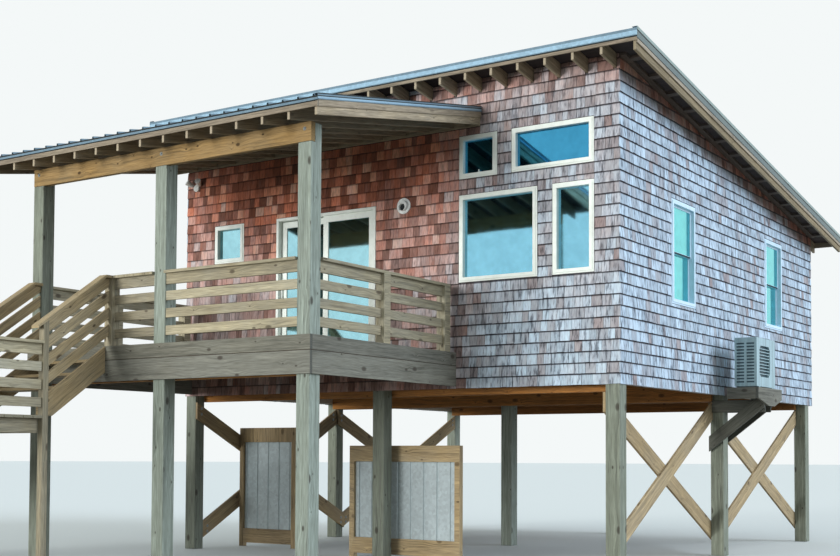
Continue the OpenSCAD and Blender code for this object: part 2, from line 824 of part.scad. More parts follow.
// Front of the deck: one length between the right posts, one from the stair to the middle post;
// the cap of that one covers the stair's post
stair_post_x = stair_x1 + stair_side - rail_post_w / 2 - deck_post_w / 2;
module front_rail() {
  color(pine) {
    translate([post_x[1] + pile_w / 2, deck_y0, 0])
      level_rail(post_pitch - pile_w, [], deck_top, deck_post_w);
    translate([stair_post_x, deck_y0, 0]) {
      rail_post(0, deck_top, deck_top + rail_h - cap_t / 2, deck_post_w);
      rail_boards([deck_post_w, deck_top], [post_x[1] - pile_w / 2 - stair_post_x, deck_top], deck_post_w);
      rail_cap([0, deck_top], [post_x[1] - pile_w / 2 - stair_post_x, deck_top], deck_post_w);
    }
  }
}

// Stair

// Flight in the local frame: it climbs towards +Y from [0, 0], between two stringers
nosing = 20;
stringer_down = 5;
module flight(steps, rise, run, w) {
  n = steps - 1;
  for (i = [0:n - 1])
    box([0, i * run, (i + 1) * rise - tread_t],
      [w, min((i + 1) * run + nosing, n * run), (i + 1) * rise]);
  drop = stringer_h * sqrt(1 + pow(rise / run, 2));
  for (x = [-board_t, w])
    prism_x(x, x + board_t, [
      [0, 0], [max(0, drop / (rise / run) - run), 0], [n * run, steps * rise - drop],
      [n * run, steps * rise - stringer_down], [0, rise - stringer_down]
    ]);
}

module upper_flight() {
  color(pine)
    translate([stair_x0, landing_y1, landing_top]) flight(upper_steps, riser, going, stair_w);
}

lower_run = (lower_steps - 1) * going;
module lower_flight() {
  color(pine)
    translate([landing_x0 - lower_run, landing_y1 - board_t, 0]) rotate([0, 0, -90])
      flight(lower_steps, lower_riser, going, landing_d - board_t - stair_side);
}

// Posts from the ground: two at the landing's front corners, as high as its rails, and two
// newels beside the stringers' feet, which meet the sloping rails. Each is given by its corner
// and the height of its top.
newel_top = landing_top + riser + rail_h + stair_rail_up - cap_t - bed_gap;
landing_front_posts = [for (x = [landing_x0, landing_x1 - rail_post_w])
  [x, landing_y0, landing_top + rail_h]];
newels = [for (x = [landing_x0, landing_x1 - rail_post_w]) [x, landing_y1, newel_top]];

module landing_posts() {
  color(pine) {
    for (c = landing_front_posts) box([c[0], c[1], 0], [c[0] + rail_post_w, c[1] + rail_post_w, c[2]]);
    for (c = newels)
      prism_x(c[0], c[0] + rail_post_w, [
        [c[1], 0], [c[1] + rail_post_w, 0],
        [c[1] + rail_post_w, c[2] + rail_post_w * stair_slope], [c[1], c[2]]
      ]);
  }
}

// Boards notched round the posts, on a frame between them
landing_joist_h = 184;
module landing() {
  frame_x0 = landing_x0 + rail_post_w;
  frame_x1 = landing_x1 - rail_post_w;
  frame_z = landing_top - board_t - landing_joist_h;
  color(pine) {
    difference() {
      box([landing_x0, landing_y0, landing_top - board_t], [landing_x1, landing_y1, landing_top]);
      for (c = landing_front_posts)
        box([c[0] - seam, c[1] - seam, frame_z],
          [c[0] + rail_post_w + seam, c[1] + rail_post_w + seam, landing_top + 1]);
    }
    difference() {
      box([frame_x0, landing_y0, frame_z], [frame_x1, landing_y1, landing_top - board_t]);
      box([frame_x0 + board_t, landing_y0 + board_t, frame_z - 1],
        [frame_x1 - board_t, landing_y1 - board_t, landing_top - board_t]);
    }
  }
}

// Level rails on the landing's right and front sides, between its posts
module landing_guard() {
  color(pine) {
    translate([landing_x1, landing_y0 + rail_post_w, 0]) rotate([0, 0, 90])
      level_rail(landing_d - rail_post_w, [], landing_top, rail_post_w);
    translate([landing_x0 + rail_post_w, landing_y0, 0])
      level_rail(landing_x1 - landing_x0 - 2 * rail_post_w, [], landing_top, rail_post_w);
  }
}

// Distance by which a sloping cap runs on past its newel
cap_run = 100;

// Sloping rails of the upper flight, from its newels up to the deck's posts; they end level with
// the deck's rails
module upper_stair_rails() {
  // Line on which the rails stand, at distance t from the landing
  function at(t) = [t, landing_top + riser + stair_rail_up + t * stair_slope];
  level_from = (deck_top - landing_top - riser - stair_rail_up) / stair_slope;
  module slope_rail(length) {
    rail_boards(at(rail_post_w), at(length), rail_post_w);
    rail_cap(at(-cap_run), at(length), rail_post_w);
    rail_cap([level_from, deck_top], [length, deck_top], rail_post_w);
  }
  color(pine) intersection() {
    union() {
      translate([landing_x1, landing_y1, 0]) rotate([0, 0, 90]) slope_rail(deck_y0 - landing_y1);
      mirror([1, 0, 0]) translate([-landing_x0, landing_y1, 0]) rotate([0, 0, 90])
        slope_rail(post_y - pile_w / 2 - landing_y1);
    }
    box([landing_x0 - cap_w, landing_y0, 0], [landing_x1 + cap_w, wy0, deck_top + rail_h]);
  }
}

// Sloping rails of the lower flight, with a newel on the ground and a post halfway up, which
// ends beside the stringer
post_drop = 190;
module lower_stair_rails() {
  slope = lower_riser / going;
  foot = [0, lower_riser];
  top = [lower_run, landing_top];
  cover = rail_h - cap_t / 2;
  color(pine)
    for (side = [0, 1])
      translate([landing_x0 - lower_run, side == 0 ? landing_y0 : landing_y1 + rail_post_w, 0])
        mirror([0, side, 0]) {
          rail_boards(foot, top, rail_post_w);
          rail_cap(foot - cap_run * [1, slope], top, rail_post_w);
          rail_post(0, 0, lower_riser + cover, rail_post_w, slope);
          rail_post(lower_run / 2, lower_riser + slope * lower_run / 2 - post_drop,
            lower_riser + slope * lower_run / 2 + cover, rail_post_w, slope);
        }
}

// Windows

flange_t = 22;
flange_edge_t = 12;
frame_depth = 110;
glass_t = 14;
// Depth of a fixed pane behind the wall's face
pane_in = 42;
// Sashes of a double-hung window: width and depth of their frames, and how far in they start
sash_face = 28;
sash_depth = 32;
sash_in = 30;

// Frame in the local frame: outer face towards -Y, flange on the wall's face at y = 0
module window_unit(w, h, sashes) {
  difference() {
    union() {
      box([0, -flange_edge_t, 0], [w, 0, h]);
      box([flange_lap, -flange_t, flange_lap], [w - flange_lap, 0, h - flange_lap]);
      box([flange_lap + fit_gap, 0, flange_lap + fit_gap],
        [w - flange_lap - fit_gap, frame_depth, h - flange_lap - fit_gap]);
    }
    box([frame_face, -flange_t - 1, frame_face], [w - frame_face, frame_depth + 1, h - frame_face]);
  }
  if (sashes == 2)
    for (i = [0, 1]) difference() {
      box([frame_face, sash_in + i * sash_depth, i == 0 ? h / 2 - sash_face / 2 : frame_face],
        [w - frame_face, sash_in + (i + 1) * sash_depth, i == 0 ? h - frame_face : h / 2 + sash_face / 2]);
      sash_opening(w, h, i, 1);
    }
}

// Opening of sash i, 0 for the upper one, and beyond its faces by the margin
module sash_opening(w, h, i, margin) {
  box([frame_face + sash_face, sash_in + i * sash_depth - margin,
      i == 0 ? (h + sash_face) / 2 : frame_face + sash_face],
    [w - frame_face - sash_face, sash_in + (i + 1) * sash_depth + margin,
      i == 0 ? h - frame_face - sash_face : (h - sash_face) / 2]);
}

module window_pane(w, h, sashes) {
  if (sashes == 2)
    for (i = [0, 1]) sash_opening(w, h, i, (glass_t - sash_depth) / 2);
  else
    box([frame_face, pane_in, frame_face], [w - frame_face, pane_in + glass_t, h - frame_face]);
}

// Runs its child at every window; w, h and sashes come through special variables
module at_windows() {
  for (w = front_windows) translate([w[0], wy0, wall_base + w[1]])
    let ($w = w[2], $h = w[3], $sashes = 1) children();
  for (y = side_windows) {
    translate([wx1, y, wall_base + side_window_z]) rotate([0, 0, 90])
      let ($w = side_window_w, $h = side_window_h, $sashes = 2) children();
    translate([wx0, y + side_window_w, wall_base + side_window_z]) rotate([0, 0, -90])
      let ($w = side_window_w, $h = side_window_h, $sashes = 2) children();
  }
  for (x = back_windows) translate([x + side_window_w, wy1, wall_base + back_window_z])
    rotate([0, 0, 180]) let ($w = side_window_w, $h = side_window_h, $sashes = 2) children();
}

module window_frames() {
  color(vinyl) at_windows() window_unit($w, $h, $sashes);
}

module window_glass() {
  color(pane) {
    at_windows() window_pane($w, $h, $sashes);
    leaf_glass(door_x1 - door_face - leaf_w, fixed_y);
  }
}

// Sliding door: a fixed leaf on the right, a sliding leaf on the left, further in
door_face = 45;
door_frame_depth = 130;
leaf_t = 40;
door_h_in = door_h - 2 * door_face;
// Distance from the wall's face to the fixed leaf
leaf_in = 10;
fixed_y = wy0 + leaf_in;
slide_y = fixed_y + leaf_t + slide_gap;
leaf_w = (door_w - 2 * door_face + stile_w) / 2;
bottom_rail_h = 1.6 * stile_w;
leaf_z0 = door_top - door_h + door_face;
leaf_z1 = door_top - door_face;

module door_frame() {
  color(vinyl) difference() {
    union() {
      box([door_x0, wy0 - flange_t, door_top - door_h], [door_x1, wy0, door_top]);
      box([door_x0 + flange_lap + fit_gap, wy0, door_top - door_h],
        [door_x1 - flange_lap - fit_gap, wy0 + door_frame_depth, door_top - flange_lap - fit_gap]);
    }
    box([door_x0 + door_face, wy0 - flange_t - 1, leaf_z0], [door_x1 - door_face, wy0 + wall_t, leaf_z1]);
  }
}

// Leaf with stiles and rails round its glass
module leaf(x0, y, z0, z1) {
  difference() {
    box([x0, y, z0], [x0 + leaf_w, y + leaf_t, z1]);
    box([x0 + stile_w, y - 1, z0 + bottom_rail_h], [x0 + leaf_w - stile_w, y + leaf_t + 1, z1 - stile_w]);
  }
}

module leaf_glass(x0, y) {
  box([x0 + stile_w, y + (leaf_t - glass_t) / 2, leaf_z0 + bottom_rail_h],
    [x0 + leaf_w - stile_w, y + (leaf_t + glass_t) / 2, leaf_z1 - stile_w]);
}

module door_fixed_leaf() {
  color(vinyl) leaf(door_x1 - door_face - leaf_w, fixed_y, leaf_z0, leaf_z1);
}

module door_sliding_leaf() {
  color(vinyl) leaf(door_x0 + door_face + slide_gap, slide_y, leaf_z0 + slide_gap, leaf_z1 - slide_gap);
}

module door_sliding_glass() {
  x0 = door_x0 + door_face + slide_gap;
  color(pane)
    box([x0 + stile_w, slide_y + (leaf_t - glass_t) / 2, leaf_z0 + slide_gap + bottom_rail_h],
      [x0 + leaf_w - stile_w, slide_y + (leaf_t + glass_t) / 2, leaf_z1 - slide_gap - stile_w]);
}

// Air unit on its shelf

shelf_top = wall_base + shelf_h;
shelf_y0 = mid_row - shelf_w / 2;
shelf_y1 = mid_row + shelf_w / 2;
shelf_x0 = wx1 + shelf_gap;
shelf_x1 = wx1 + shelf_out;
shelf_joist_h = 170;
ac_x0 = wx1 + ac_gap;
// The unit stands nearer to the front end of its shelf
ac_forward = 75;
ac_y0 = mid_row - ac_w / 2 - ac_forward;
ac_foot = 15;
ac_foot_w = 60;
ac_foot_in = 90;
ac_z = shelf_top + ac_foot;
louvre_count = 13;
louvre_depth = 12;
louvre_edge = 55;
louvre_w = ac_d / 3;
louvre_in = 0.1 * ac_d;
louvre_apart = 0.45 * ac_d;
grille_depth = 40;
grille_w = 0.56 * ac_w;
grille_h = 0.64 * ac_h;
grille_bars = 9;
// Centre of the grille from the unit's front end and from its foot
grille_y = 0.43 * ac_w;
grille_z = 0.52 * ac_h;
bar_w = 12;

// Closed housing with two columns of louvres on the end that faces front, and a barred grille
// with cut corners on the outer face
module air_unit() {
  louvre_pitch = (ac_h - 2 * louvre_edge) / louvre_count;
  grille_at = [ac_x0 + ac_d, ac_y0 + grille_y, ac_z + grille_z];
  color(vinyl) {
    difference() {
      box([ac_x0, ac_y0, ac_z], [ac_x0 + ac_d, ac_y0 + ac_w, ac_z + ac_h]);
      for (i = [0:louvre_count - 1], j = [0, 1])
        let (x = ac_x0 + louvre_in + j * louvre_apart, z = ac_z + louvre_edge + i * louvre_pitch)
          box([x, ac_y0 - 1, z], [x + louvre_w, ac_y0 + louvre_depth, z + louvre_pitch / 2]);
      translate(grille_at) grille_opening();
    }
    for (i = [1:grille_bars])
      translate(grille_at + [-grille_depth / 2, -grille_w / 2 - 1, grille_h * (i / (grille_bars + 1) - 0.5)])
        box([0, 0, -bar_w / 2], [bar_w, grille_w + 2, bar_w / 2]);
    for (y = [ac_y0 + ac_foot_in, ac_y0 + ac_w - ac_foot_in - ac_foot_w])
      box([ac_x0, y, shelf_top], [ac_x0 + ac_d, y + ac_foot_w, ac_z]);
  }
}

// Opening centred on the outer face, its corners cut off
module grille_opening() {
  cut = 0.12 * grille_h;
  y = grille_w / 2;
  z = grille_h / 2;
  prism_x(-grille_depth, 1, [
    [-y + cut, -z], [y - cut, -z], [y, -z + cut], [y, z - cut],
    [y - cut, z], [-y + cut, z], [-y, z - cut], [-y, -z + cut]
  ]);
}

// Framed platform with a shaped end board
module air_unit_shelf() {
  front_corner = 0.45 * shelf_w;
  back_corner = 0.315 * shelf_w;
  end_low = 265;
  end_side = 160;
  color(pine) {
    for (y = [shelf_y0, shelf_y1 - board_t])
      box([shelf_x0, y, shelf_top - shelf_joist_h], [shelf_x1 - board_t - seam, y + board_t, shelf_top]);
    box([shelf_x0, shelf_y0 + board_t + seam, shelf_top - board_t],
      [shelf_x1 - board_t - seam, shelf_y1 - board_t - seam, shelf_top]);
    prism_x(shelf_x1 - board_t, shelf_x1, [
      [shelf_y0, shelf_top], [shelf_y0, shelf_top - end_side],
      [shelf_y0 + front_corner, shelf_top - end_low], [shelf_y1 - back_corner, shelf_top - end_low],
      [shelf_y1, shelf_top - end_side], [shelf_y1, shelf_top]
    ]);
  }
}

// Arms on both faces of the pile carry the platform
arm_z = shelf_top - shelf_joist_h;
module air_unit_arms() {
  for (y = [mid_row - pile_w / 2 - board_t, mid_row + pile_w / 2])
    color(grey_pine)
      box([wx1 - wall_t, y, arm_z - rafter_h], [shelf_x1 - board_t, y + board_t, arm_z]);
}

// Knee braces outside the arms, from the pile to the arms' ends
knee_low = 750;
knee_high = 85;
module air_unit_braces() {
  color(grey_pine)
    for (y = [mid_row - pile_w / 2 - 2 * board_t, mid_row + pile_w / 2 + board_t])
      prism_y(y, y + board_t, plumb_board(
        [wx1 - pile_w, wall_base - knee_low], [shelf_x1 - board_t, wall_base - knee_high], rim_top_h));
}

// Small pieces on the front wall

// Round hood: a flange, a short collar and its mouth
vent_flange_d = 230;
vent_flange_t = 24;
vent_d = 150;
vent_out = 70;
vent_mouth_d = 100;
vent_wall = 35;
// The mouth sits low, this far from the collar's foot
vent_lip = 5;
module wall_vent() {
  color(vinyl)
    translate([wx1 - vent_in, wy0, wall_base + head_h - vent_drop]) rotate([90, 0, 0]) difference() {
      union() {
        cylinder(h = vent_flange_t, d = vent_flange_d);
        cylinder(h = vent_out, d = vent_d);
      }
      translate([0, (vent_mouth_d - vent_d) / 2 + vent_lip, vent_wall])
        cylinder(h = vent_out, d = vent_mouth_d);
    }
}

// Two lamp heads on a round box
light_box_d = 110;
light_box_t = 45;
head_d = 100;
head_back_d = 60;
head_l = 110;
head_apart = 75;
head_up = 40;
// Turn of the heads down from the vertical, and outwards
head_tilt = 60;
head_turn = 25;
module flood_light() {
  color(vinyl)
    translate([wx0 + light_in, wy0, wall_base + light_h]) {
      rotate([90, 0, 0]) cylinder(h = light_box_t, d = light_box_d);
      for (side = [-1, 1])
        translate([side * head_apart, -light_box_t, head_up]) rotate([head_tilt, 0, side * head_turn])
          cylinder(h = head_l, d1 = head_back_d, d2 = head_d);
    }
}

// Screens of ribbed sheet under the floor

screen_rail_h = 235;
screen_foot = 60;
screen_lap = 20;
module screen_frame(x0, x1, y, h) {
  for (x = [x0, x1 - rail_post_w])
    box([x, y, 0], [x + rail_post_w, y + rail_post_w, h]);
  for (z = [screen_foot, h - screen_rail_h])
    box([x0 + rail_post_w, y, z], [x1 - rail_post_w, y + board_t, z + screen_rail_h]);
}

right_screen_x1 = wx1 - right_screen_in;
left_screen_x0 = wx0 + left_screen_in;
left_screen_y = wy0 + left_screen_back;
right_screen_y = pile_w / 2 + board_t + screen_foot;
module screen_frames() {
  color(pine) {
    screen_frame(right_screen_x1 - right_screen_w, right_screen_x1, right_screen_y, right_screen_h);
    screen_frame(left_screen_x0, left_screen_x0 + left_screen_w, left_screen_y, left_screen_h);
  }
}

screen_rib_h = 15;
module screen_sheet(x0, x1, y, h) {
  translate([0, y, screen_foot + screen_lap]) linear_extrude(h - screen_foot - 2 * screen_lap)
    polygon(rib_outline(x0, x1, pan_t, screen_rib_h));
}

module screen_sheets() {
  color(galvanised) {
    screen_sheet(right_screen_x1 - right_screen_w + rail_post_w, right_screen_x1 - rail_post_w,
      right_screen_y + board_t, right_screen_h);
    screen_sheet(left_screen_x0 + rail_post_w, left_screen_x0 + left_screen_w - rail_post_w,
      left_screen_y + board_t, left_screen_h);
  }
}

house_piles();
porch_posts();
floor_girders();
floor_joists();
house_floor();
falling_braces();
rising_braces();
front_wall_left();
front_wall_right();
front_wall_over_door();
right_wall();
left_wall();
back_wall();
eave_blocks();
main_rafters();
lookouts();
barge_rafters();
main_roof_boards();
main_fascia();
main_roof_metal();
main_roof_trim();
porch_beam();
porch_ledger();
porch_rafters();
porch_roof_boards();
porch_fascia();
porch_roof_metal();
porch_roof_trim();
deck_girder();
deck_joists();
deck_floor();
deck_rim();
right_rail();
front_rail();
left_rail();
upper_flight();
landing();
landing_posts();
landing_guard();
lower_flight();
upper_stair_rails();
lower_stair_rails();
window_frames();
window_glass();
door_frame();
door_fixed_leaf();
door_sliding_leaf();
door_sliding_glass();
air_unit();
air_unit_shelf();
air_unit_arms();
air_unit_braces();
wall_vent();
flood_light();
screen_frames();
screen_sheets();
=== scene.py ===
"""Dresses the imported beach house: shingles, sawn timber, decking, windows, sheet roofs and fasteners."""

import collections
import math
import random

import bmesh
import bpy
from mathutils import Matrix, Vector, noise
from mathutils.bvhtree import BVHTree


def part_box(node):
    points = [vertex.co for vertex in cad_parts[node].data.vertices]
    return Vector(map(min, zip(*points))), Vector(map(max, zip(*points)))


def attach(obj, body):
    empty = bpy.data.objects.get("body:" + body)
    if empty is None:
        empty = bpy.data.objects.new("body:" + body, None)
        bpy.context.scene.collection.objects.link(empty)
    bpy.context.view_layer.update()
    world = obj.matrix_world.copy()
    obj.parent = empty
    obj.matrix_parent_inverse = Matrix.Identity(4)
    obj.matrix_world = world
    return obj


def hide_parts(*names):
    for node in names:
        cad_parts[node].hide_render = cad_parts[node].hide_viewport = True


bl_info = {
    "name": "Beach House Dressing",
    "version": (1, 0, 0),
    "blender": (4, 5, 0),
    "location": "View3D > Sidebar > House",
    "description": "Builds the shingles, timber, windows, roofs and small parts of a beach house on piles",
    "category": "Object",
}

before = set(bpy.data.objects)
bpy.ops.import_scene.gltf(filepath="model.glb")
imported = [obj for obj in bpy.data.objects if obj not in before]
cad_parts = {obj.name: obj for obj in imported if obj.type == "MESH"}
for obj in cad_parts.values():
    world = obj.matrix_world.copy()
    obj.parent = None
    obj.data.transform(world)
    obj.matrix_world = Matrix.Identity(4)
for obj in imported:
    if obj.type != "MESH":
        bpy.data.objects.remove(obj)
BODY = "house"
LEAF = "door_leaf"

# Camera found from the straight lines of the photograph
IMAGE_SIZE = (840, 556)
FOCAL_PX = 1276.1
HORIZONTAL_MIDDLE_PX = 404.0
CAMERA_EYE = (7.028, -15.120, 1.506)
CAMERA_YAW = 0.5876
CAMERA_PITCH = 0.0404
CAMERA_ROLL = 0.0045

# Points closer than this are one corner
WELD = 1e-5
# Widest board: a face no wider than this that closes a longer one is a crosscut end
WIDEST_BOARD = 0.31
# Thickness of framing boards
BOARD_T = 0.038


# Measures of the frame


def solids(name):
    """Lowest and highest corner of each separate solid of a CAD node."""
    bm = bmesh.new()
    bm.from_mesh(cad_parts[name].data)
    bmesh.ops.remove_doubles(bm, verts=bm.verts, dist=WELD)
    boxes = []
    for island in islands(bm):
        points = [v.co for v in island]
        boxes.append((Vector(map(min, *points)), Vector(map(max, *points))))
    bm.free()
    return boxes


def islands(bm):
    """Connected groups of vertices."""
    groups, seen = [], set()
    for start in bm.verts:
        if start in seen:
            continue
        seen.add(start)
        group, waiting = [], [start]
        while waiting:
            v = waiting.pop()
            group.append(v)
            for e in v.link_edges:
                other = e.other_vert(v)
                if other not in seen:
                    seen.add(other)
                    waiting.append(other)
        groups.append(group)
    return groups


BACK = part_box("back_wall")
WALL_X0, WALL_X1 = BACK[0].x, BACK[1].x
WALL_Y0, WALL_Y1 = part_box("front_wall_left")[0].y, BACK[1].y
WALL_T = BACK[1].y - BACK[0].y
WALL_FOOT, WALL_TOP = BACK[0].z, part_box("front_wall_over_door")[1].z
BLOCKS = sorted(solids("eave_blocks"), key=lambda block_box: block_box[0].y)
ROOF_FALL = (BLOCKS[0][1].z - BLOCKS[-1][1].z) / (BLOCKS[-1][0].y - BLOCKS[0][0].y)
RAFTER_RISE = BLOCKS[0][1].z - WALL_TOP


def roof_underside(y):
    """Height of the main rafters' underside."""
    return WALL_TOP - ROOF_FALL * (y - WALL_Y0)


def clamped(value, low=0.0, high=1.0):
    return min(high, max(low, value))


# Sizes and colours


def rgb(tint):
    """sRGB tuple of a hex string, a colour property or a tuple."""
    if isinstance(tint, str):
        return tuple(int(tint[i : i + 2], 16) / 255 for i in (1, 3, 5))
    return tuple(tint)


def linear(tint):
    """Linear RGBA of an sRGB colour."""
    return (*(c / 12.92 if c <= 0.04045 else ((c + 0.055) / 1.055) ** 2.4 for c in rgb(tint)), 1.0)


def shade(tint, gain):
    """A colour made lighter or darker by gain."""
    return tuple(min(1.0, c * gain) for c in rgb(tint))


def blend_tint(a, b, share):
    return tuple(x + (y - x) * share for x, y in zip(rgb(a), rgb(b)))


def size(name, description, default, low, high):
    return bpy.props.FloatProperty(name=name, description=description, default=default, min=low, max=high,
                                   unit="LENGTH", subtype="DISTANCE", precision=4)


def strength(name, description, default, high):
    return bpy.props.FloatProperty(name=name, description=description, default=default, min=0.0, max=high)


def colour(name, description, default):
    return bpy.props.FloatVectorProperty(name=name, description=description, default=rgb(default),
                                         subtype="COLOR_GAMMA", size=3, min=0.0, max=1.0)


class ShingleSettings(bpy.types.PropertyGroup):
    exposure: size("Exposure", "Height of a course that shows", 0.146, 0.1, 0.2)
    narrow: size("Narrowest", "Width of the narrowest shingle", 0.075, 0.04, 0.12)
    wide: size("Widest", "Width of the widest shingle", 0.195, 0.14, 0.3)
    butt: size("Butt", "How far a shingle's lower edge stands off the wall", 0.017, 0.008, 0.02)
    tip: size("Tip", "How far a shingle's upper edge stands off the wall", 0.004, 0.001, 0.008)
    gap: size("Gap", "Gap between neighbouring shingles", 0.005, 0.001, 0.01)
    silver: colour("Weathered", "Shingles in the open", "#c4d9e6")
    pinkish: colour("Half weathered", "Shingles on the front, still pinkish", "#b8a6a1")
    russet: colour("Sheltered", "Shingles that the roofs shelter", "#c67a5e")


class TimberSettings(bpy.types.PropertyGroup):
    edge: size("Eased edge", "Radius of a board's eased edges", 0.003, 0.001, 0.006)
    post_edge: size("Post edge", "Radius of a post's worn edges", 0.007, 0.002, 0.015)
    strip_edge: size("Strip edge", "Radius of a thin strip's edges", 0.002, 0.001, 0.004)
    board_width: size("Deck board", "Width of a deck board", 0.140, 0.09, 0.16)
    board_gap: size("Board gap", "Gap between deck boards", 0.006, 0.002, 0.01)
    golden: colour("Fresh pine", "Pine that the sun hasn't reached", "#b89a69")
    framing: colour("Framing", "Joists and girders in the dry", "#de9c58")
    brace: colour("Braces", "Braces between the piles", "#c8b48e")
    weathered: colour("Weathered pine", "Rails in the open, gone olive-tan", "#c6bfa4")
    rim: colour("Rim", "Rim boards, the greyest", "#8a8c84")
    pile: colour("Pile", "Old treated piles and posts", "#a0aca2")
    tails: colour("Tails", "Rafters' tails", "#c6b89e")
    barge: colour("Barge boards", "Boards along the roofs' sides", "#c0b294")
    # The lookouts' dark tint is painted shade under the rakes
    soffit: colour("Lookouts", "Flat boards under the rakes", "#6c5f57")
    strip: colour("Strips", "Pale wood strips at the roofs' edges", "#bab09e")


class SheetSettings(bpy.types.PropertyGroup):
    metal: colour("Sheet", "Roof sheets and trim along the eaves", "#7891a0")
    screen: colour("Screens", "Sheets of the screens under the floor", "#c3cfd1")
    # The rakes' tint is painted light on the main roof trim's sideways faces, not a change in the paint
    rake: colour("Rakes", "Trim on the main roof's sides, gone greener", "#75827f")
    vinyl: colour("Frames", "Window and door frames", "#eff6ef")
    # The side frames' bluer tint is painted light, not a change in the PVC
    side_vinyl: colour("Side frames", "Window frames on the side walls, gone bluer", "#cfeafa")
    # The four pane colours are painted reflections of the sky, which differ by wall and height, not casts of
    # the glass
    pane: colour("Side pane", "Cast of the glass in the side and back windows", "#8bf8fc")
    porch_pane: colour("Porch pane", "Cast of the glass in the door and the porch window", "#b8effa")
    front_pane: colour("Front pane", "Cast of the glass in the front windows", "#9be0f8")
    upper_pane: colour("Upper pane", "Cast of the glass high in the front wall", "#4dabd5")


class StageSettings(bpy.types.PropertyGroup):
    floor: colour("Floor", "Studio floor, as the camera sees it", "#dfe6e4")
    bounce: colour("Bounce", "Studio floor, as it lights the undersides", "#807c74")
    key: strength("Key", "Strength of the light from the right", 2.9, 4.0)
    fill: strength("Fill", "Strength of the light from the front", 2.7, 5.0)
    softbox: strength("Softbox", "Power of the soft box aimed into the porch, in watts", 170.0, 500.0)
    room: strength("Room", "Strength of the light from all round", 0.74, 2.0)


# Shader helpers


def add(tree, kind, inputs=None, ramp=None, **settings):
    """Adds a shader node. An input is a value, or the socket of another node; a ramp is [(place, colour)]."""
    item = tree.nodes.new(kind)
    for key, value in settings.items():
        setattr(item, key, value)
    for key, value in (inputs or {}).items():
        if isinstance(value, bpy.types.NodeSocket):
            tree.links.new(value, item.inputs[key])
        else:
            item.inputs[key].default_value = value
    if ramp:
        stops = item.color_ramp.elements
        while len(stops) < len(ramp):
            stops.new(0.5)
        for stop, (place, tint) in zip(stops, ramp):
            stop.position = place
            stop.color = (tint, tint, tint, 1) if isinstance(tint, float) else linear(tint)
    return item


def new_material(name):
    """Empty material with its output node; returns the material, its tree and the output."""
    material = bpy.data.materials.new(name)
    material.use_nodes = True
    tree = material.node_tree
    tree.nodes.clear()
    return material, tree, add(tree, "ShaderNodeOutputMaterial")


def surface(tree, output, height=None, depth=0.002, strength=0.6, **inputs):
    """Principled surface with an optional height pattern, depth in metres."""
    if height is not None:
        bump = add(tree, "ShaderNodeBump", {"Height": height, "Distance": depth, "Strength": strength})
        inputs["Normal"] = bump.outputs[0]
    names = {key.replace("_", " "): value for key, value in inputs.items()}
    shader = add(tree, "ShaderNodeBsdfPrincipled", names)
    tree.links.new(shader.outputs[0], output.inputs[0])


# Settings of a node that mixes or multiplies two colours
MIX = {"data_type": "RGBA", "blend_type": "MIX"}
MULTIPLY = {"data_type": "RGBA", "blend_type": "MULTIPLY"}


# Materials


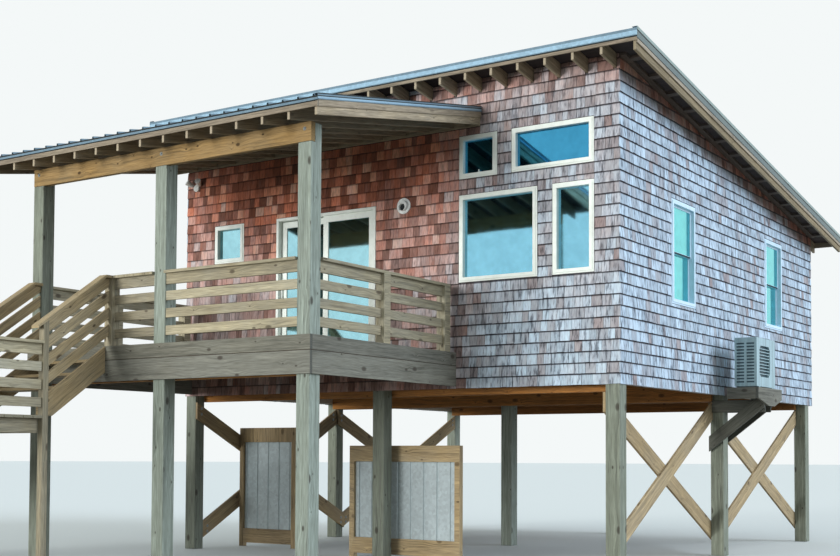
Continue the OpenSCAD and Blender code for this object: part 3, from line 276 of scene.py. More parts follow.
def sawn_timber(name, tint, grey, knots, wear, knot_scale):
    """Treated southern pine, flat sawn and planed: long rings, dark knots and grey from the weather."""
    material, tree, output = new_material(name)
    uv = add(tree, "ShaderNodeUVMap", uv_map="grain").outputs[0]
    tone = add(tree, "ShaderNodeAttribute", attribute_name="tone").outputs["Fac"]
    # Knots 20 to 70 mm across, about one to the metre of a board; the rings bulge round them
    places = add(tree, "ShaderNodeMapping", {"Vector": uv, "Scale": (*knot_scale, 1.0)})
    knot = add(tree, "ShaderNodeTexVoronoi", {"Vector": places.outputs[0], "Scale": 1.0},
               voronoi_dimensions="2D")
    chance = add(tree, "ShaderNodeRGBToBW", {"Color": knot.outputs["Color"]})
    spread = add(tree, "ShaderNodeMapRange", {"Value": chance.outputs[0], "From Min": 0.25, "From Max": 0.75,
                                              "To Min": 0.7, "To Max": 2.6})
    near = add(tree, "ShaderNodeMath", {0: knot.outputs["Distance"], 1: spread.outputs[0]},
               operation="MULTIPLY")
    spot = add(tree, "ShaderNodeValToRGB", {"Fac": near.outputs[0]},
               ramp=[(0.0, 1.0), (0.05, 0.85), (0.085, 0.0)])
    bulge = add(tree, "ShaderNodeMapRange",
                {"Value": near.outputs[0], "From Max": 0.4, "To Min": 0.03, "To Max": 0.0})
    offset = add(tree, "ShaderNodeCombineXYZ", {"Y": bulge.outputs[0]})
    bent = add(tree, "ShaderNodeVectorMath", {0: uv, 1: offset.outputs[0]}, operation="ADD").outputs[0]
    # Rings: 1.1 m long and about 35 mm across; fibres drawn 8 mm wide so that they show
    rings = add(tree, "ShaderNodeMapping", {"Vector": bent, "Scale": (0.9, 28.0, 1.0)})
    ring = add(tree, "ShaderNodeTexNoise",
               {"Vector": rings.outputs[0], "Scale": 1.0, "Detail": 4.0, "Roughness": 0.6, "Distortion": 0.9})
    fine = add(tree, "ShaderNodeMapping", {"Vector": bent, "Scale": (5.0, 125.0, 1.0)})
    fibre = add(tree, "ShaderNodeTexNoise", {"Vector": fine.outputs[0], "Scale": 1.0, "Detail": 3.0})
    wood = add(tree, "ShaderNodeValToRGB", {"Fac": ring.outputs["Fac"]},
               ramp=[(0.3, shade(tint, 0.64)), (0.44, shade(tint, 0.88)), (0.6, tint),
                     (0.76, shade(tint, 1.16))])
    stain = add(tree, "ShaderNodeTexNoise", {"Vector": uv, "Scale": 1.7, "Detail": 5.0, "Roughness": 0.65})
    patch = add(tree, "ShaderNodeValToRGB", {"Fac": stain.outputs["Fac"]},
                ramp=[(0.36, 0.0), (0.7, wear)])
    base = add(tree, "ShaderNodeMix", {0: patch.outputs[0], 6: wood.outputs[0], 7: linear(grey)},
               **MIX).outputs[2]
    board = add(tree, "ShaderNodeValToRGB", {"Fac": tone},
                ramp=[(0.0, "#ccc8c3"), (0.5, "#f0ebe2"), (1.0, "#ffffff")])
    base = add(tree, "ShaderNodeMix", {0: 1.0, 6: base, 7: board.outputs[0]}, **MULTIPLY).outputs[2]
    line = add(tree, "ShaderNodeValToRGB", {"Fac": fibre.outputs["Fac"]},
               ramp=[(0.3, "#b0aba4"), (0.62, "#ffffff")])
    base = add(tree, "ShaderNodeMix", {0: 0.7, 6: base, 7: line.outputs[0]}, **MULTIPLY).outputs[2]
    faded = add(tree, "ShaderNodeMath", {0: spot.outputs[0], 1: knots}, operation="MULTIPLY")
    heart = linear(blend_tint(shade(tint, 0.32), (0.24, 0.15, 0.1), 0.4))
    base = add(tree, "ShaderNodeMix", {0: faded.outputs[0], 6: base, 7: heart}, **MIX).outputs[2]
    rough = add(tree, "ShaderNodeMapRange", {"Value": fibre.outputs["Fac"], "To Min": 0.62, "To Max": 0.88})
    height = add(tree, "ShaderNodeMix", {0: 0.35, 6: fibre.outputs["Color"], 7: ring.outputs["Color"]},
                 **MIX).outputs[2]
    surface(tree, output, height, 0.003, 0.55, Base_Color=base, Roughness=rough.outputs[0], IOR=1.45)
    return material


def end_grain(name, tint):
    """Crosscut end of a board: open pores that soak up dirt, so darker, with arcs of growth rings. The dark
    tints for the shingles' butts and the rim's seam add painted shade.
    """
    material, tree, output = new_material(name)
    place = add(tree, "ShaderNodeTexCoord").outputs["Object"]
    # Rings 7 mm apart
    arcs = add(tree, "ShaderNodeTexWave", {"Vector": place, "Scale": 42.0, "Distortion": 3.5, "Detail": 2.0},
               wave_type="RINGS")
    tone = add(tree, "ShaderNodeValToRGB", {"Fac": arcs.outputs["Fac"]},
               ramp=[(0.2, shade(tint, 0.66)), (0.8, shade(tint, 0.95))])
    surface(tree, output, arcs.outputs["Fac"], 0.001, 0.3, Base_Color=tone.outputs[0], Roughness=0.9)
    return material


def cedar_shingles(name, settings):
    """Sawn red cedar, untreated: russet under the roofs, then pinkish, silver in the open."""
    material, tree, output = new_material(name)
    silver, pinkish, russet = settings.silver, settings.pinkish, settings.russet
    place = add(tree, "ShaderNodeTexCoord").outputs["Object"]
    course = add(tree, "ShaderNodeUVMap", uv_map="course").outputs[0]
    tone = add(tree, "ShaderNodeAttribute", attribute_name="tone").outputs["Fac"]
    weather = add(tree, "ShaderNodeAttribute", attribute_name="weather").outputs["Fac"]
    worn = add(tree, "ShaderNodeValToRGB", {"Fac": tone}, ramp=[
        (0.0, blend_tint(shade(silver, 0.8), pinkish, 0.7)),
        (0.06, blend_tint(shade(silver, 0.9), pinkish, 0.4)),
        (0.34, shade(silver, 0.93)), (0.66, silver), (1.0, shade(silver, 1.07))])
    half = add(tree, "ShaderNodeValToRGB", {"Fac": tone}, ramp=[
        (0.0, blend_tint(shade(pinkish, 0.6), russet, 0.35)), (0.25, shade(pinkish, 0.84)), (0.55, pinkish),
        (0.85, blend_tint(shade(pinkish, 1.08), silver, 0.3)), (1.0, blend_tint(pinkish, silver, 0.6))])
    fresh = add(tree, "ShaderNodeValToRGB", {"Fac": tone}, ramp=[
        (0.0, shade(russet, 0.6)), (0.35, shade(russet, 0.84)), (0.66, shade(russet, 1.08)),
        (0.88, blend_tint(shade(russet, 1.3), (0.79, 0.66, 0.55), 0.35)),
        (1.0, blend_tint(shade(russet, 1.3), (0.83, 0.71, 0.62), 0.7))])
    # Blotches about 120 mm wide and 300 mm high
    blotch = add(tree, "ShaderNodeMapping", {"Vector": place, "Scale": (8.0, 8.0, 3.3)})
    cloud = add(tree, "ShaderNodeTexNoise",
                {"Vector": blotch.outputs[0], "Scale": 1.0, "Detail": 6.0, "Roughness": 0.7})
    shift = add(tree, "ShaderNodeMapRange",
                {"Value": cloud.outputs["Fac"], "From Min": 0.3, "From Max": 0.7,
                 "To Min": -0.10, "To Max": 0.10})
    amount = add(tree, "ShaderNodeMath", {0: weather, 1: shift.outputs[0]}, operation="ADD", use_clamp=True)
    early = add(tree, "ShaderNodeMapRange", {"Value": amount.outputs[0], "From Max": 0.5})
    late = add(tree, "ShaderNodeMapRange", {"Value": amount.outputs[0], "From Min": 0.5})
    base = add(tree, "ShaderNodeMix", {0: early.outputs[0], 6: fresh.outputs[0], 7: half.outputs[0]},
               **MIX).outputs[2]
    base = add(tree, "ShaderNodeMix", {0: late.outputs[0], 6: base, 7: worn.outputs[0]}, **MIX).outputs[2]
    # Saw lines run up the wall, drawn 8 mm apart; stains run down it, about 35 mm wide
    upright = add(tree, "ShaderNodeMapping", {"Vector": place, "Scale": (120.0, 120.0, 5.0)})
    grain = add(tree, "ShaderNodeTexNoise", {"Vector": upright.outputs[0], "Scale": 1.0, "Detail": 3.0})
    line = add(tree, "ShaderNodeValToRGB", {"Fac": grain.outputs["Fac"]},
               ramp=[(0.28, "#96969c"), (0.55, "#ffffff")])
    # Silver shingles have gone smooth
    fuzz = add(tree, "ShaderNodeMapRange",
               {"Value": amount.outputs[0], "From Min": 0.7, "From Max": 0.95, "To Min": 0.6, "To Max": 0.3})
    base = add(tree, "ShaderNodeMix", {0: fuzz.outputs[0], 6: base, 7: line.outputs[0]},
               **MULTIPLY).outputs[2]
    runs = add(tree, "ShaderNodeMapping", {"Vector": place, "Scale": (30.0, 30.0, 4.5)})
    stain = add(tree, "ShaderNodeTexNoise",
                {"Vector": runs.outputs[0], "Scale": 1.0, "Detail": 4.0, "Roughness": 0.6})
    dark = add(tree, "ShaderNodeValToRGB", {"Fac": stain.outputs["Fac"]},
               ramp=[(0.30, "#3e3c42"), (0.385, "#86848a"), (0.47, "#e6e4e8"), (0.62, "#ffffff")])
    stained = add(tree, "ShaderNodeMapRange", {"Value": amount.outputs[0], "To Min": 0.35, "To Max": 0.85})
    base = add(tree, "ShaderNodeMix", {0: stained.outputs[0], 6: base, 7: dark.outputs[0]},
               **MULTIPLY).outputs[2]
    # Painted shade and dirt: the top 25 mm that shows, under the butts of the next course, is darkened for
    # the butts' shadow and for the dirt and damp there
    up = add(tree, "ShaderNodeSeparateXYZ", {"Vector": course})
    butt_shade_and_dirt = add(tree, "ShaderNodeMapRange", {"Value": up.outputs["Y"], "From Min": -0.025, "From Max": -0.011})
    share = add(tree, "ShaderNodeMapRange", {"Value": amount.outputs[0], "To Min": 0.6, "To Max": 1.0})
    butt_shade_and_dirt = add(tree, "ShaderNodeMath", {0: butt_shade_and_dirt.outputs[0], 1: share.outputs[0]}, operation="MULTIPLY")
    base = add(tree, "ShaderNodeMix", {0: butt_shade_and_dirt.outputs[0], 6: base, 7: linear("#3f363a")},
               **MULTIPLY).outputs[2]
    surface(tree, output, grain.outputs["Fac"], 0.002, 0.5, Base_Color=base, Roughness=0.85, IOR=1.45)
    return material


def wall_shell(name):
    """Outer wall: tarred paper under the shingles, painted plasterboard towards the room."""
    material, tree, output = new_material(name)
    place = add(tree, "ShaderNodeTexCoord").outputs["Object"]
    split = add(tree, "ShaderNodeSeparateXYZ", {"Vector": place})
    inside = None
    skin = 0.02
    for axis, low, high in (("X", WALL_X0 + skin, WALL_X1 - skin), ("Y", WALL_Y0 + skin, WALL_Y1 - skin)):
        for operation, limit in (("GREATER_THAN", low), ("LESS_THAN", high)):
            test = add(tree, "ShaderNodeMath", {0: split.outputs[axis], 1: limit}, operation=operation)
            inside = test if inside is None else add(
                tree, "ShaderNodeMath", {0: inside.outputs[0], 1: test.outputs[0]}, operation="MULTIPLY")
    mottle = add(tree, "ShaderNodeTexNoise", {"Vector": place, "Scale": 9.0, "Detail": 4.0})
    paper = add(tree, "ShaderNodeValToRGB", {"Fac": mottle.outputs["Fac"]},
                ramp=[(0.3, "#2b2320"), (0.7, "#43352f")])
    paint = add(tree, "ShaderNodeValToRGB", {"Fac": mottle.outputs["Fac"]},
                ramp=[(0.3, "#cfcac0"), (0.7, "#dad6cd")])
    base = add(tree, "ShaderNodeMix", {0: inside.outputs[0], 6: paper.outputs[0], 7: paint.outputs[0]},
               **MIX).outputs[2]
    surface(tree, output, mottle.outputs["Fac"], 0.001, 0.3, Base_Color=base, Roughness=0.9)
    return material


def boarding(name, tint, width):
    """Sheathing or floor boards of one width that run along X, with open joints."""
    material, tree, output = new_material(name)
    place = add(tree, "ShaderNodeTexCoord").outputs["Object"]
    across = add(tree, "ShaderNodeSeparateXYZ", {"Vector": place}).outputs["Y"]
    row = add(tree, "ShaderNodeMath", {0: across, 1: 1 / width}, operation="MULTIPLY")
    part = add(tree, "ShaderNodeMath", {0: row.outputs[0]}, operation="FRACT")
    number = add(tree, "ShaderNodeMath", {0: row.outputs[0]}, operation="FLOOR")
    board = add(tree, "ShaderNodeTexWhiteNoise", {"W": number.outputs[0]}, noise_dimensions="1D")
    long = add(tree, "ShaderNodeMapping", {"Vector": place, "Scale": (1.2, 26.0, 26.0)})
    ring = add(tree, "ShaderNodeTexNoise",
               {"Vector": long.outputs[0], "Scale": 1.0, "Detail": 5.0, "Distortion": 0.7})
    wood = add(tree, "ShaderNodeValToRGB", {"Fac": ring.outputs["Fac"]},
               ramp=[(0.3, shade(tint, 0.7)), (0.55, tint), (0.8, shade(tint, 1.15))])
    gain = add(tree, "ShaderNodeValToRGB", {"Fac": board.outputs["Value"]},
               ramp=[(0.0, "#c4c0ba"), (1.0, "#ffffff")])
    base = add(tree, "ShaderNodeMix", {0: 1.0, 6: wood.outputs[0], 7: gain.outputs[0]},
               **MULTIPLY).outputs[2]
    joint = add(tree, "ShaderNodeValToRGB", {"Fac": part.outputs[0]},
                ramp=[(0.0, 0.0), (0.035, 1.0), (0.965, 1.0), (1.0, 0.0)])
    base = add(tree, "ShaderNodeMix", {0: joint.outputs[0], 6: linear(shade(tint, 0.25)), 7: base},
               **MIX).outputs[2]
    surface(tree, output, joint.outputs[0], 0.004, 0.7, Base_Color=base, Roughness=0.8)
    return material


def galvanised_sheet(name, tint, side_tint=None):
    """Steel sheet with a baked zinc-aluminium coat: satin, faintly spangled; sideways faces take a tint of
    painted light.
    """
    material, tree, output = new_material(name)
    place = add(tree, "ShaderNodeTexCoord").outputs["Object"]
    # Faces that look along X take the side tint: painted light
    facing = add(tree, "ShaderNodeNewGeometry").outputs["Normal"]
    aside = add(tree, "ShaderNodeSeparateXYZ", {"Vector": facing}).outputs["X"]
    aside = add(tree, "ShaderNodeMath", {0: aside, 1: aside}, operation="MULTIPLY")
    # Spangles drawn 40 mm wide so that they show
    spangle = add(tree, "ShaderNodeTexVoronoi", {"Vector": place, "Scale": 25.0})
    salt = add(tree, "ShaderNodeTexNoise", {"Vector": place, "Scale": 2.2, "Detail": 6.0, "Roughness": 0.7})
    cells = add(tree, "ShaderNodeRGBToBW", {"Color": spangle.outputs["Color"]})
    bright = add(tree, "ShaderNodeValToRGB", {"Fac": cells.outputs[0]},
                 ramp=[(0.1, shade(tint, 0.95)), (0.9, shade(tint, 1.05))])
    sides = linear(side_tint or tint)
    base = add(tree, "ShaderNodeMix", {0: aside.outputs[0], 6: bright.outputs[0], 7: sides},
               **MIX).outputs[2]
    dull = add(tree, "ShaderNodeValToRGB", {"Fac": salt.outputs["Fac"]}, ramp=[(0.35, 0.0), (0.75, 0.45)])
    base = add(tree, "ShaderNodeMix", {0: dull.outputs[0], 6: base, 7: linear(shade(tint, 0.82))},
               **MIX).outputs[2]
    rough = add(tree, "ShaderNodeMapRange", {"Value": salt.outputs["Fac"], "To Min": 0.40, "To Max": 0.62})
    surface(tree, output, salt.outputs["Fac"], 0.002, 0.15, Base_Color=base, Metallic=0.35,
            Roughness=rough.outputs[0])
    return material


def vinyl(name, tint, side_tint):
    """Extruded white PVC: smooth, slightly glossy, with a little dust; the side walls' frames take a bluer
    tint of painted light.
    """
    material, tree, output = new_material(name)
    place = add(tree, "ShaderNodeTexCoord").outputs["Object"]
    # Frames in the side walls are further from the middle of the house than any other
    across = add(tree, "ShaderNodeSeparateXYZ", {"Vector": place}).outputs["X"]
    middle, inside = (WALL_X0 + WALL_X1) / 2, (WALL_X1 - WALL_X0) / 2 - WALL_T
    across = add(tree, "ShaderNodeMath", {0: across, 1: middle}, operation="SUBTRACT")
    across = add(tree, "ShaderNodeMath", {0: across.outputs[0]}, operation="ABSOLUTE")
    aside = add(tree, "ShaderNodeMath", {0: across.outputs[0], 1: inside}, operation="GREATER_THAN")
    dust = add(tree, "ShaderNodeTexNoise", {"Vector": place, "Scale": 5.0, "Detail": 6.0, "Roughness": 0.75})
    dirt = add(tree, "ShaderNodeValToRGB", {"Fac": dust.outputs["Fac"]},
               ramp=[(0.3, "#f0f0ee"), (0.55, "#ffffff")])
    # Frames in the side walls take the bluer tint: painted light
    base = add(tree, "ShaderNodeMix", {0: aside.outputs[0], 6: linear(tint), 7: linear(side_tint)},
               **MIX).outputs[2]
    base = add(tree, "ShaderNodeMix", {0: 1.0, 6: base, 7: dirt.outputs[0]}, **MULTIPLY).outputs[2]
    rough = add(tree, "ShaderNodeMapRange", {"Value": dust.outputs["Fac"], "To Min": 0.42, "To Max": 0.28})
    surface(tree, output, dust.outputs["Fac"], 0.0005, 0.1, Base_Color=base,
            Roughness=rough.outputs[0], IOR=1.53)
    return material


def pile_seal_painted_shadow(name):
    """Woven polypropylene pile: matt, nearly black, with tufts; the black stands in for shade as painted
    shadow.
    """
    material, tree, output = new_material(name)
    place = add(tree, "ShaderNodeTexCoord").outputs["Object"]
    tuft = add(tree, "ShaderNodeTexNoise", {"Vector": place, "Scale": 220.0, "Detail": 2.0})
    base = add(tree, "ShaderNodeValToRGB", {"Fac": tuft.outputs["Fac"]},
               ramp=[(0.3, "#16262c"), (0.7, "#2c4048")])
    surface(tree, output, tuft.outputs["Fac"], 0.001, 0.4, Base_Color=base.outputs[0], Roughness=0.9)
    return material


def coated_glass(name, settings):
    """Double glazing with a low-emissivity coat; a painted reflection of the sky colours it: cyan on the
    sides, bluer in front.
    """
    material, tree, output = new_material(name)
    place = add(tree, "ShaderNodeTexCoord").outputs["Object"]
    split = add(tree, "ShaderNodeSeparateXYZ", {"Vector": place})
    inner = WALL_X1 - WALL_T
    side = add(tree, "ShaderNodeMath", {0: split.outputs["X"], 1: inner}, operation="GREATER_THAN")
    far = add(tree, "ShaderNodeMath", {0: split.outputs["X"], 1: WALL_X0 + WALL_T}, operation="LESS_THAN")
    side = add(tree, "ShaderNodeMath", {0: side.outputs[0], 1: far.outputs[0]}, operation="MAXIMUM")
    back = add(tree, "ShaderNodeMath", {0: split.outputs["Y"], 1: WALL_Y1 - WALL_T},
               operation="GREATER_THAN")
    side = add(tree, "ShaderNodeMath", {0: side.outputs[0], 1: back.outputs[0]}, operation="MAXIMUM")
    porch = add(tree, "ShaderNodeMath", {0: split.outputs["X"], 1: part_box("door_frame")[1].x},
                operation="LESS_THAN")
    heads = max(hi.z for lo, hi in solids("window_frames") if hi.x > WALL_X1)
    high = add(tree, "ShaderNodeMath", {0: split.outputs["Z"], 1: heads}, operation="GREATER_THAN")
    # Painted reflection: each pane takes a colour for the sky it would mirror, by wall and height
    front, upper = linear(settings.front_pane), linear(settings.upper_pane)
    front = add(tree, "ShaderNodeMix", {0: high.outputs[0], 6: front, 7: upper},
                **MIX).outputs[2]
    front = add(tree, "ShaderNodeMix", {0: porch.outputs[0], 6: front, 7: linear(settings.porch_pane)},
                **MIX).outputs[2]
    base = add(tree, "ShaderNodeMix", {0: side.outputs[0], 6: front, 7: linear(settings.pane)},
               **MIX).outputs[2]
    # Slow waves of toughened panes, about 0.7 m apart
    wave = add(tree, "ShaderNodeTexNoise", {"Vector": place, "Scale": 1.4, "Detail": 1.0})
    smear = add(tree, "ShaderNodeTexNoise", {"Vector": place, "Scale": 7.0, "Detail": 5.0})
    haze = add(tree, "ShaderNodeValToRGB", {"Fac": smear.outputs["Fac"]},
               ramp=[(0.35, "#f0f2f3"), (0.65, "#ffffff")])
    base = add(tree, "ShaderNodeMix", {0: 1.0, 6: base, 7: haze.outputs[0]}, **MULTIPLY).outputs[2]
    rough = add(tree, "ShaderNodeMapRange", {"Value": smear.outputs["Fac"], "To Min": 0.02, "To Max": 0.07})
    surface(tree, output, wave.outputs["Fac"], 0.01, 0.12, Base_Color=base, Metallic=1.0,
            Roughness=rough.outputs[0], Alpha=0.85)
    return material


def painted_steel(name, tint):
    """Powder-coated sheet steel: even colour, fine orange peel, a little darker where rain runs."""
    material, tree, output = new_material(name)
    place = add(tree, "ShaderNodeTexCoord").outputs["Object"]
    peel = add(tree, "ShaderNodeTexNoise", {"Vector": place, "Scale": 90.0, "Detail": 2.0})
    run = add(tree, "ShaderNodeMapping", {"Vector": place, "Scale": (22.0, 22.0, 1.5)})
    streak = add(tree, "ShaderNodeTexNoise", {"Vector": run.outputs[0], "Scale": 1.0, "Detail": 4.0})
    base = add(tree, "ShaderNodeValToRGB", {"Fac": streak.outputs["Fac"]},
               ramp=[(0.3, shade(tint, 0.84)), (0.6, tint)])
    surface(tree, output, peel.outputs["Fac"], 0.0008, 0.25, Base_Color=base.outputs[0], Roughness=0.45)
    return material


def zinc_fastener(name):
    """Hot-dip galvanised bolts and washers: matt grey, rough to the touch."""
    material, tree, output = new_material(name)
    place = add(tree, "ShaderNodeTexCoord").outputs["Object"]
    grit = add(tree, "ShaderNodeTexNoise", {"Vector": place, "Scale": 160.0, "Detail": 3.0})
    base = add(tree, "ShaderNodeValToRGB", {"Fac": grit.outputs["Fac"]},
               ramp=[(0.3, "#8b9193"), (0.7, "#b4bab8")])
    surface(tree, output, grit.outputs["Fac"], 0.001, 0.4, Base_Color=base.outputs[0], Metallic=0.5,
            Roughness=0.55)
    return material


# Pieces


def finish_piece(bm, name, materials, body=BODY, replaced=()):
    """Turns a bmesh into a piece that rides on a body."""
    mesh = bpy.data.meshes.new(name)
    bm.to_mesh(mesh)
    bm.free()
    piece = bpy.data.objects.new(name, mesh)
    bpy.context.scene.collection.objects.link(piece)
    for material in materials:
        mesh.materials.append(material)
    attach(piece, body)
    if replaced:
        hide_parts(*replaced)
    return piece


def longest_direction(face):
    """Direction of a face's longest edge."""
    edge = max(face.edges, key=lambda e: e.calc_length())
    return (edge.verts[1].co - edge.verts[0].co).normalized()


def lay_grain(bm, seed):
    """Runs the grain map along each face's longest edge, with a place and a tone for each solid."""
    rng = random.Random(seed)
    uv = bm.loops.layers.uv.new("grain")
    tone = bm.faces.layers.float.new("tone")
    for island in islands(bm):
        start = Vector((rng.uniform(0, 40), rng.uniform(0, 40), 0))
        value = rng.random()
        for face in {f for v in island for f in v.link_faces}:
            along = longest_direction(face)
            if max(along, key=abs) < 0:
                along = -along
            across = face.normal.cross(along)
            # Each direction in a solid is a board of its own
            turn = round(along.x * 7 + along.z * 13)
            face[tone] = (value + 0.37 * turn) % 1.0
            for loop in face.loops:
                point = loop.vert.co
                loop[uv].uv = (point.dot(along) + start.x + turn, point.dot(across) + start.y + 3 * turn)


def mark_ends(bm):
    """Gives the crosscut ends of boards the second material."""
    for face in bm.faces:
        if max(e.calc_length() for e in face.edges) > WIDEST_BOARD:
            continue
        for edge in face.edges:
            others = [f for f in edge.link_faces if f is not face]
            if others and abs(longest_direction(others[0]).dot(face.normal)) > 0.9:
                face.material_index = 1
                break


def ease_edges(bm, radius, segments=1):
    """Eases every sharp edge."""
    sharp = math.radians(25)
    edges = [e for e in bm.edges if len(e.link_faces) == 2 and e.calc_face_angle(0) > sharp]
    bmesh.ops.bevel(bm, geom=edges, offset=radius, offset_type="OFFSET", affect="EDGES", segments=segments,
                    profile=0.5, material=-1, clamp_overlap=True)


def cad_copy(node):
    """Welded copy of a CAD node's mesh, with its flat faces whole."""
    bm = bmesh.new()
    bm.from_mesh(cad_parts[node].data)
    bmesh.ops.remove_doubles(bm, verts=bm.verts, dist=WELD)
    bmesh.ops.dissolve_limit(bm, angle_limit=math.radians(0.4), verts=bm.verts, edges=bm.edges)
    return bm


def dress_timber(node, materials, radius):
    """Timber copy of a node with eased edges, grain along each board and crosscut ends."""
    bm = cad_copy(node)
    mark_ends(bm)
    ease_edges(bm, radius)
    lay_grain(bm, node)
    return finish_piece(bm, node + "_timber", materials, BODY, (node,))


def dress_shell(node, material, radius, body=BODY):
    """Copy of a node with rounded edges, for moulded and pressed parts."""
    bm = cad_copy(node)
    ease_edges(bm, radius, 2)
    return finish_piece(bm, node + "_shell", [material], body, (node,))


def paint_node(node, material):
    """Gives a CAD node its material."""
    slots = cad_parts[node].data.materials
    slots.clear()
    slots.append(material)


def block(bm, low, high):
    """Box between two corners; returns its vertices."""
    low, high = Vector(low), Vector(high)
    place = Matrix.Translation((low + high) / 2) @ Matrix.Diagonal((*(high - low), 1.0))
    return bmesh.ops.create_cube(bm, size=1.0, matrix=place)["verts"]


def faces_of(verts):
    return {f for v in verts for f in v.link_faces}


# Shingles

# A wall runs from origin along its foot; top(s) is the height where its shingles end, holes are
# (s0, s1, z0, z1), and first_past says whether the first course runs past the corners
Wall = collections.namedtuple("Wall", "name origin along out length top holes first_past")


def weather_at(x, y, z, wall):
    """How far the weather has got with a shingle: 0 sheltered, 0.5 pinkish, 1 silver in the open."""
    # Heights over which the shelter of the roof's edges fades
    rake_fade, back_fade, front_fade = 0.30, 0.55, 0.70
    below_roof = roof_underside(y) - z
    if wall in ("right", "left"):
        return clamped((below_roof + 0.14) / rake_fade, 0.18)
    if wall == "back":
        return 0.2 + 0.8 * clamped(below_roof / back_fade)
    # Low and far from the porch the front wall is nearly silver
    low = clamped((WALL_TOP - z) / (WALL_TOP - WALL_FOOT))
    amount = min(0.40 + 0.6 * clamped(below_roof / front_fade), 0.63 + 0.27 * low)
    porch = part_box("porch_roof_boards")
    edge = porch[1].x + 0.25
    if porch[0].x < x < edge:
        under = min(1.0, edge - x)
        depth = (porch[1].z - z) / (porch[1].z - WALL_FOOT - 0.45)
        sheltered = amount * 0.75 if depth < 0 else clamped(0.9 * (depth - 0.22), 0.0, 0.36)
        # The porch's left end is open to the rain
        rain_reach = 1.6
        sheltered += 0.12 * clamped((porch[0].x + rain_reach - x) / rain_reach) * max(0.0, depth)
        amount += (sheltered - amount) * under
    return amount


def course_spans(low_s, high_s, holes, low, high):
    """Stretches of a course that are clear of the openings, as (s0, s1, z0, z1)."""
    least_height, least_width = 0.02, 0.015
    crossing = [h for h in holes if h[2] < high and h[3] > low]
    cuts = sorted({low_s, high_s, *[c for h in crossing for c in h[:2] if low_s < c < high_s]})
    spans = []
    for a, b in zip(cuts, cuts[1:]):
        z0, z1 = low, high
        for h in crossing:
            if h[0] < (a + b) / 2 < h[1]:
                if h[2] <= z0 + 0.01:
                    z0 = max(z0, h[3])
                else:
                    z1 = min(z1, h[2])
        if z1 - z0 > least_height and b - a > least_width:
            spans.append((a, b, z0, z1))
    return spans


def shingle_wall(wall, settings, materials):
    """Courses of tapered shingles on one wall."""
    rng = random.Random(wall.name)
    bm = bmesh.new()
    layers = (bm.faces.layers.float.new("tone"), bm.faces.layers.float.new("weather"),
              bm.loops.layers.uv.new("course"))
    rise, lap, overhang = settings.exposure, 0.014, 0.012
    foot = wall.origin.z - overhang
    courses = int((max(wall.top(0), wall.top(wall.length)) - foot) / rise) + 1
    for k in range(courses):
        low = foot + k * rise
        # Alternate courses run past the corners, as woven shingles do
        past = settings.butt if (k % 2 == 0) == wall.first_past else 0.0
        for s, end, z0, z1 in course_spans(-past, wall.length + past, wall.holes, low, low + rise + lap):
            while s < end - 0.005:
                width = rng.triangular(settings.narrow, settings.wide, settings.narrow * 1.5)
                if end - (s + width) < settings.narrow * 0.8:
                    width = end - s
                e = min(s + width, end)
                drop = rng.uniform(-0.003, 0.003) if z0 == low else 0.0
                lean = rng.uniform(-0.0012, 0.0012)
                thick = settings.butt + rng.uniform(-0.003, 0.001)
                heights = (z0 + drop, z1, low + rise)
                place_shingle(bm, wall, settings, layers, rng, (s, e), heights, lean, thick)
                s = e
    return finish_piece(bm, wall.name, materials)


def place_shingle(bm, wall, settings, layers, rng, span, heights, lean, thick):
    """One shingle: a thin wedge, thick at its butt. Its map runs along the wall and up to the next course."""
    least_height, least_width, clear = 0.012, 0.008, 0.0005
    patch_scale, patch_reach, reach = 0.8, 0.12, 0.09
    s0, s1 = span[0] + settings.gap / 2, span[1] - settings.gap / 2
    z0, z1, next_low = heights
    tops = [min(z1, wall.top(s0)), min(z1, wall.top(s1))]
    if min(tops) - z0 < least_height or s1 - s0 < least_width:
        return
    verts = bmesh.ops.create_cube(bm, size=2.0)["verts"]
    for v in verts:
        left, outer, upper = v.co.x < 0, v.co.y > 0, v.co.z > 0
        off = (settings.tip if upper else thick) if outer else clear
        z = tops[0 if left else 1] if upper else z0 + (lean if left else -lean)
        v.co = wall.origin + wall.along * (s0 if left else s1) + wall.out * off
        v.co.z = z
    centre = wall.origin + wall.along * (s0 + s1) / 2
    amount = weather_at(centre.x, centre.y, (z0 + z1) / 2, wall.name.split("_")[0])
    amount += noise.noise(Vector((centre.x, centre.y, z0)) * patch_scale) * patch_reach
    amount += rng.uniform(-reach, reach)
    value = rng.random()
    faces = faces_of(verts)
    tone, weather, course = layers
    for face in faces:
        face[tone] = value
        face[weather] = clamped(amount)
        for loop in face.loops:
            loop[course].uv = ((loop.vert.co - wall.origin).dot(wall.along), loop.vert.co.z - next_low)
        # Downward butt faces take the dark butt material, painted shade
        butt = all(v.co.z < z0 + 0.003 for v in face.verts)
        face.material_index = 1 if butt else 0
    if wall.along.cross(Vector((0, 0, 1))).dot(wall.out) > 0:
        bmesh.ops.reverse_faces(bm, faces=list(faces))


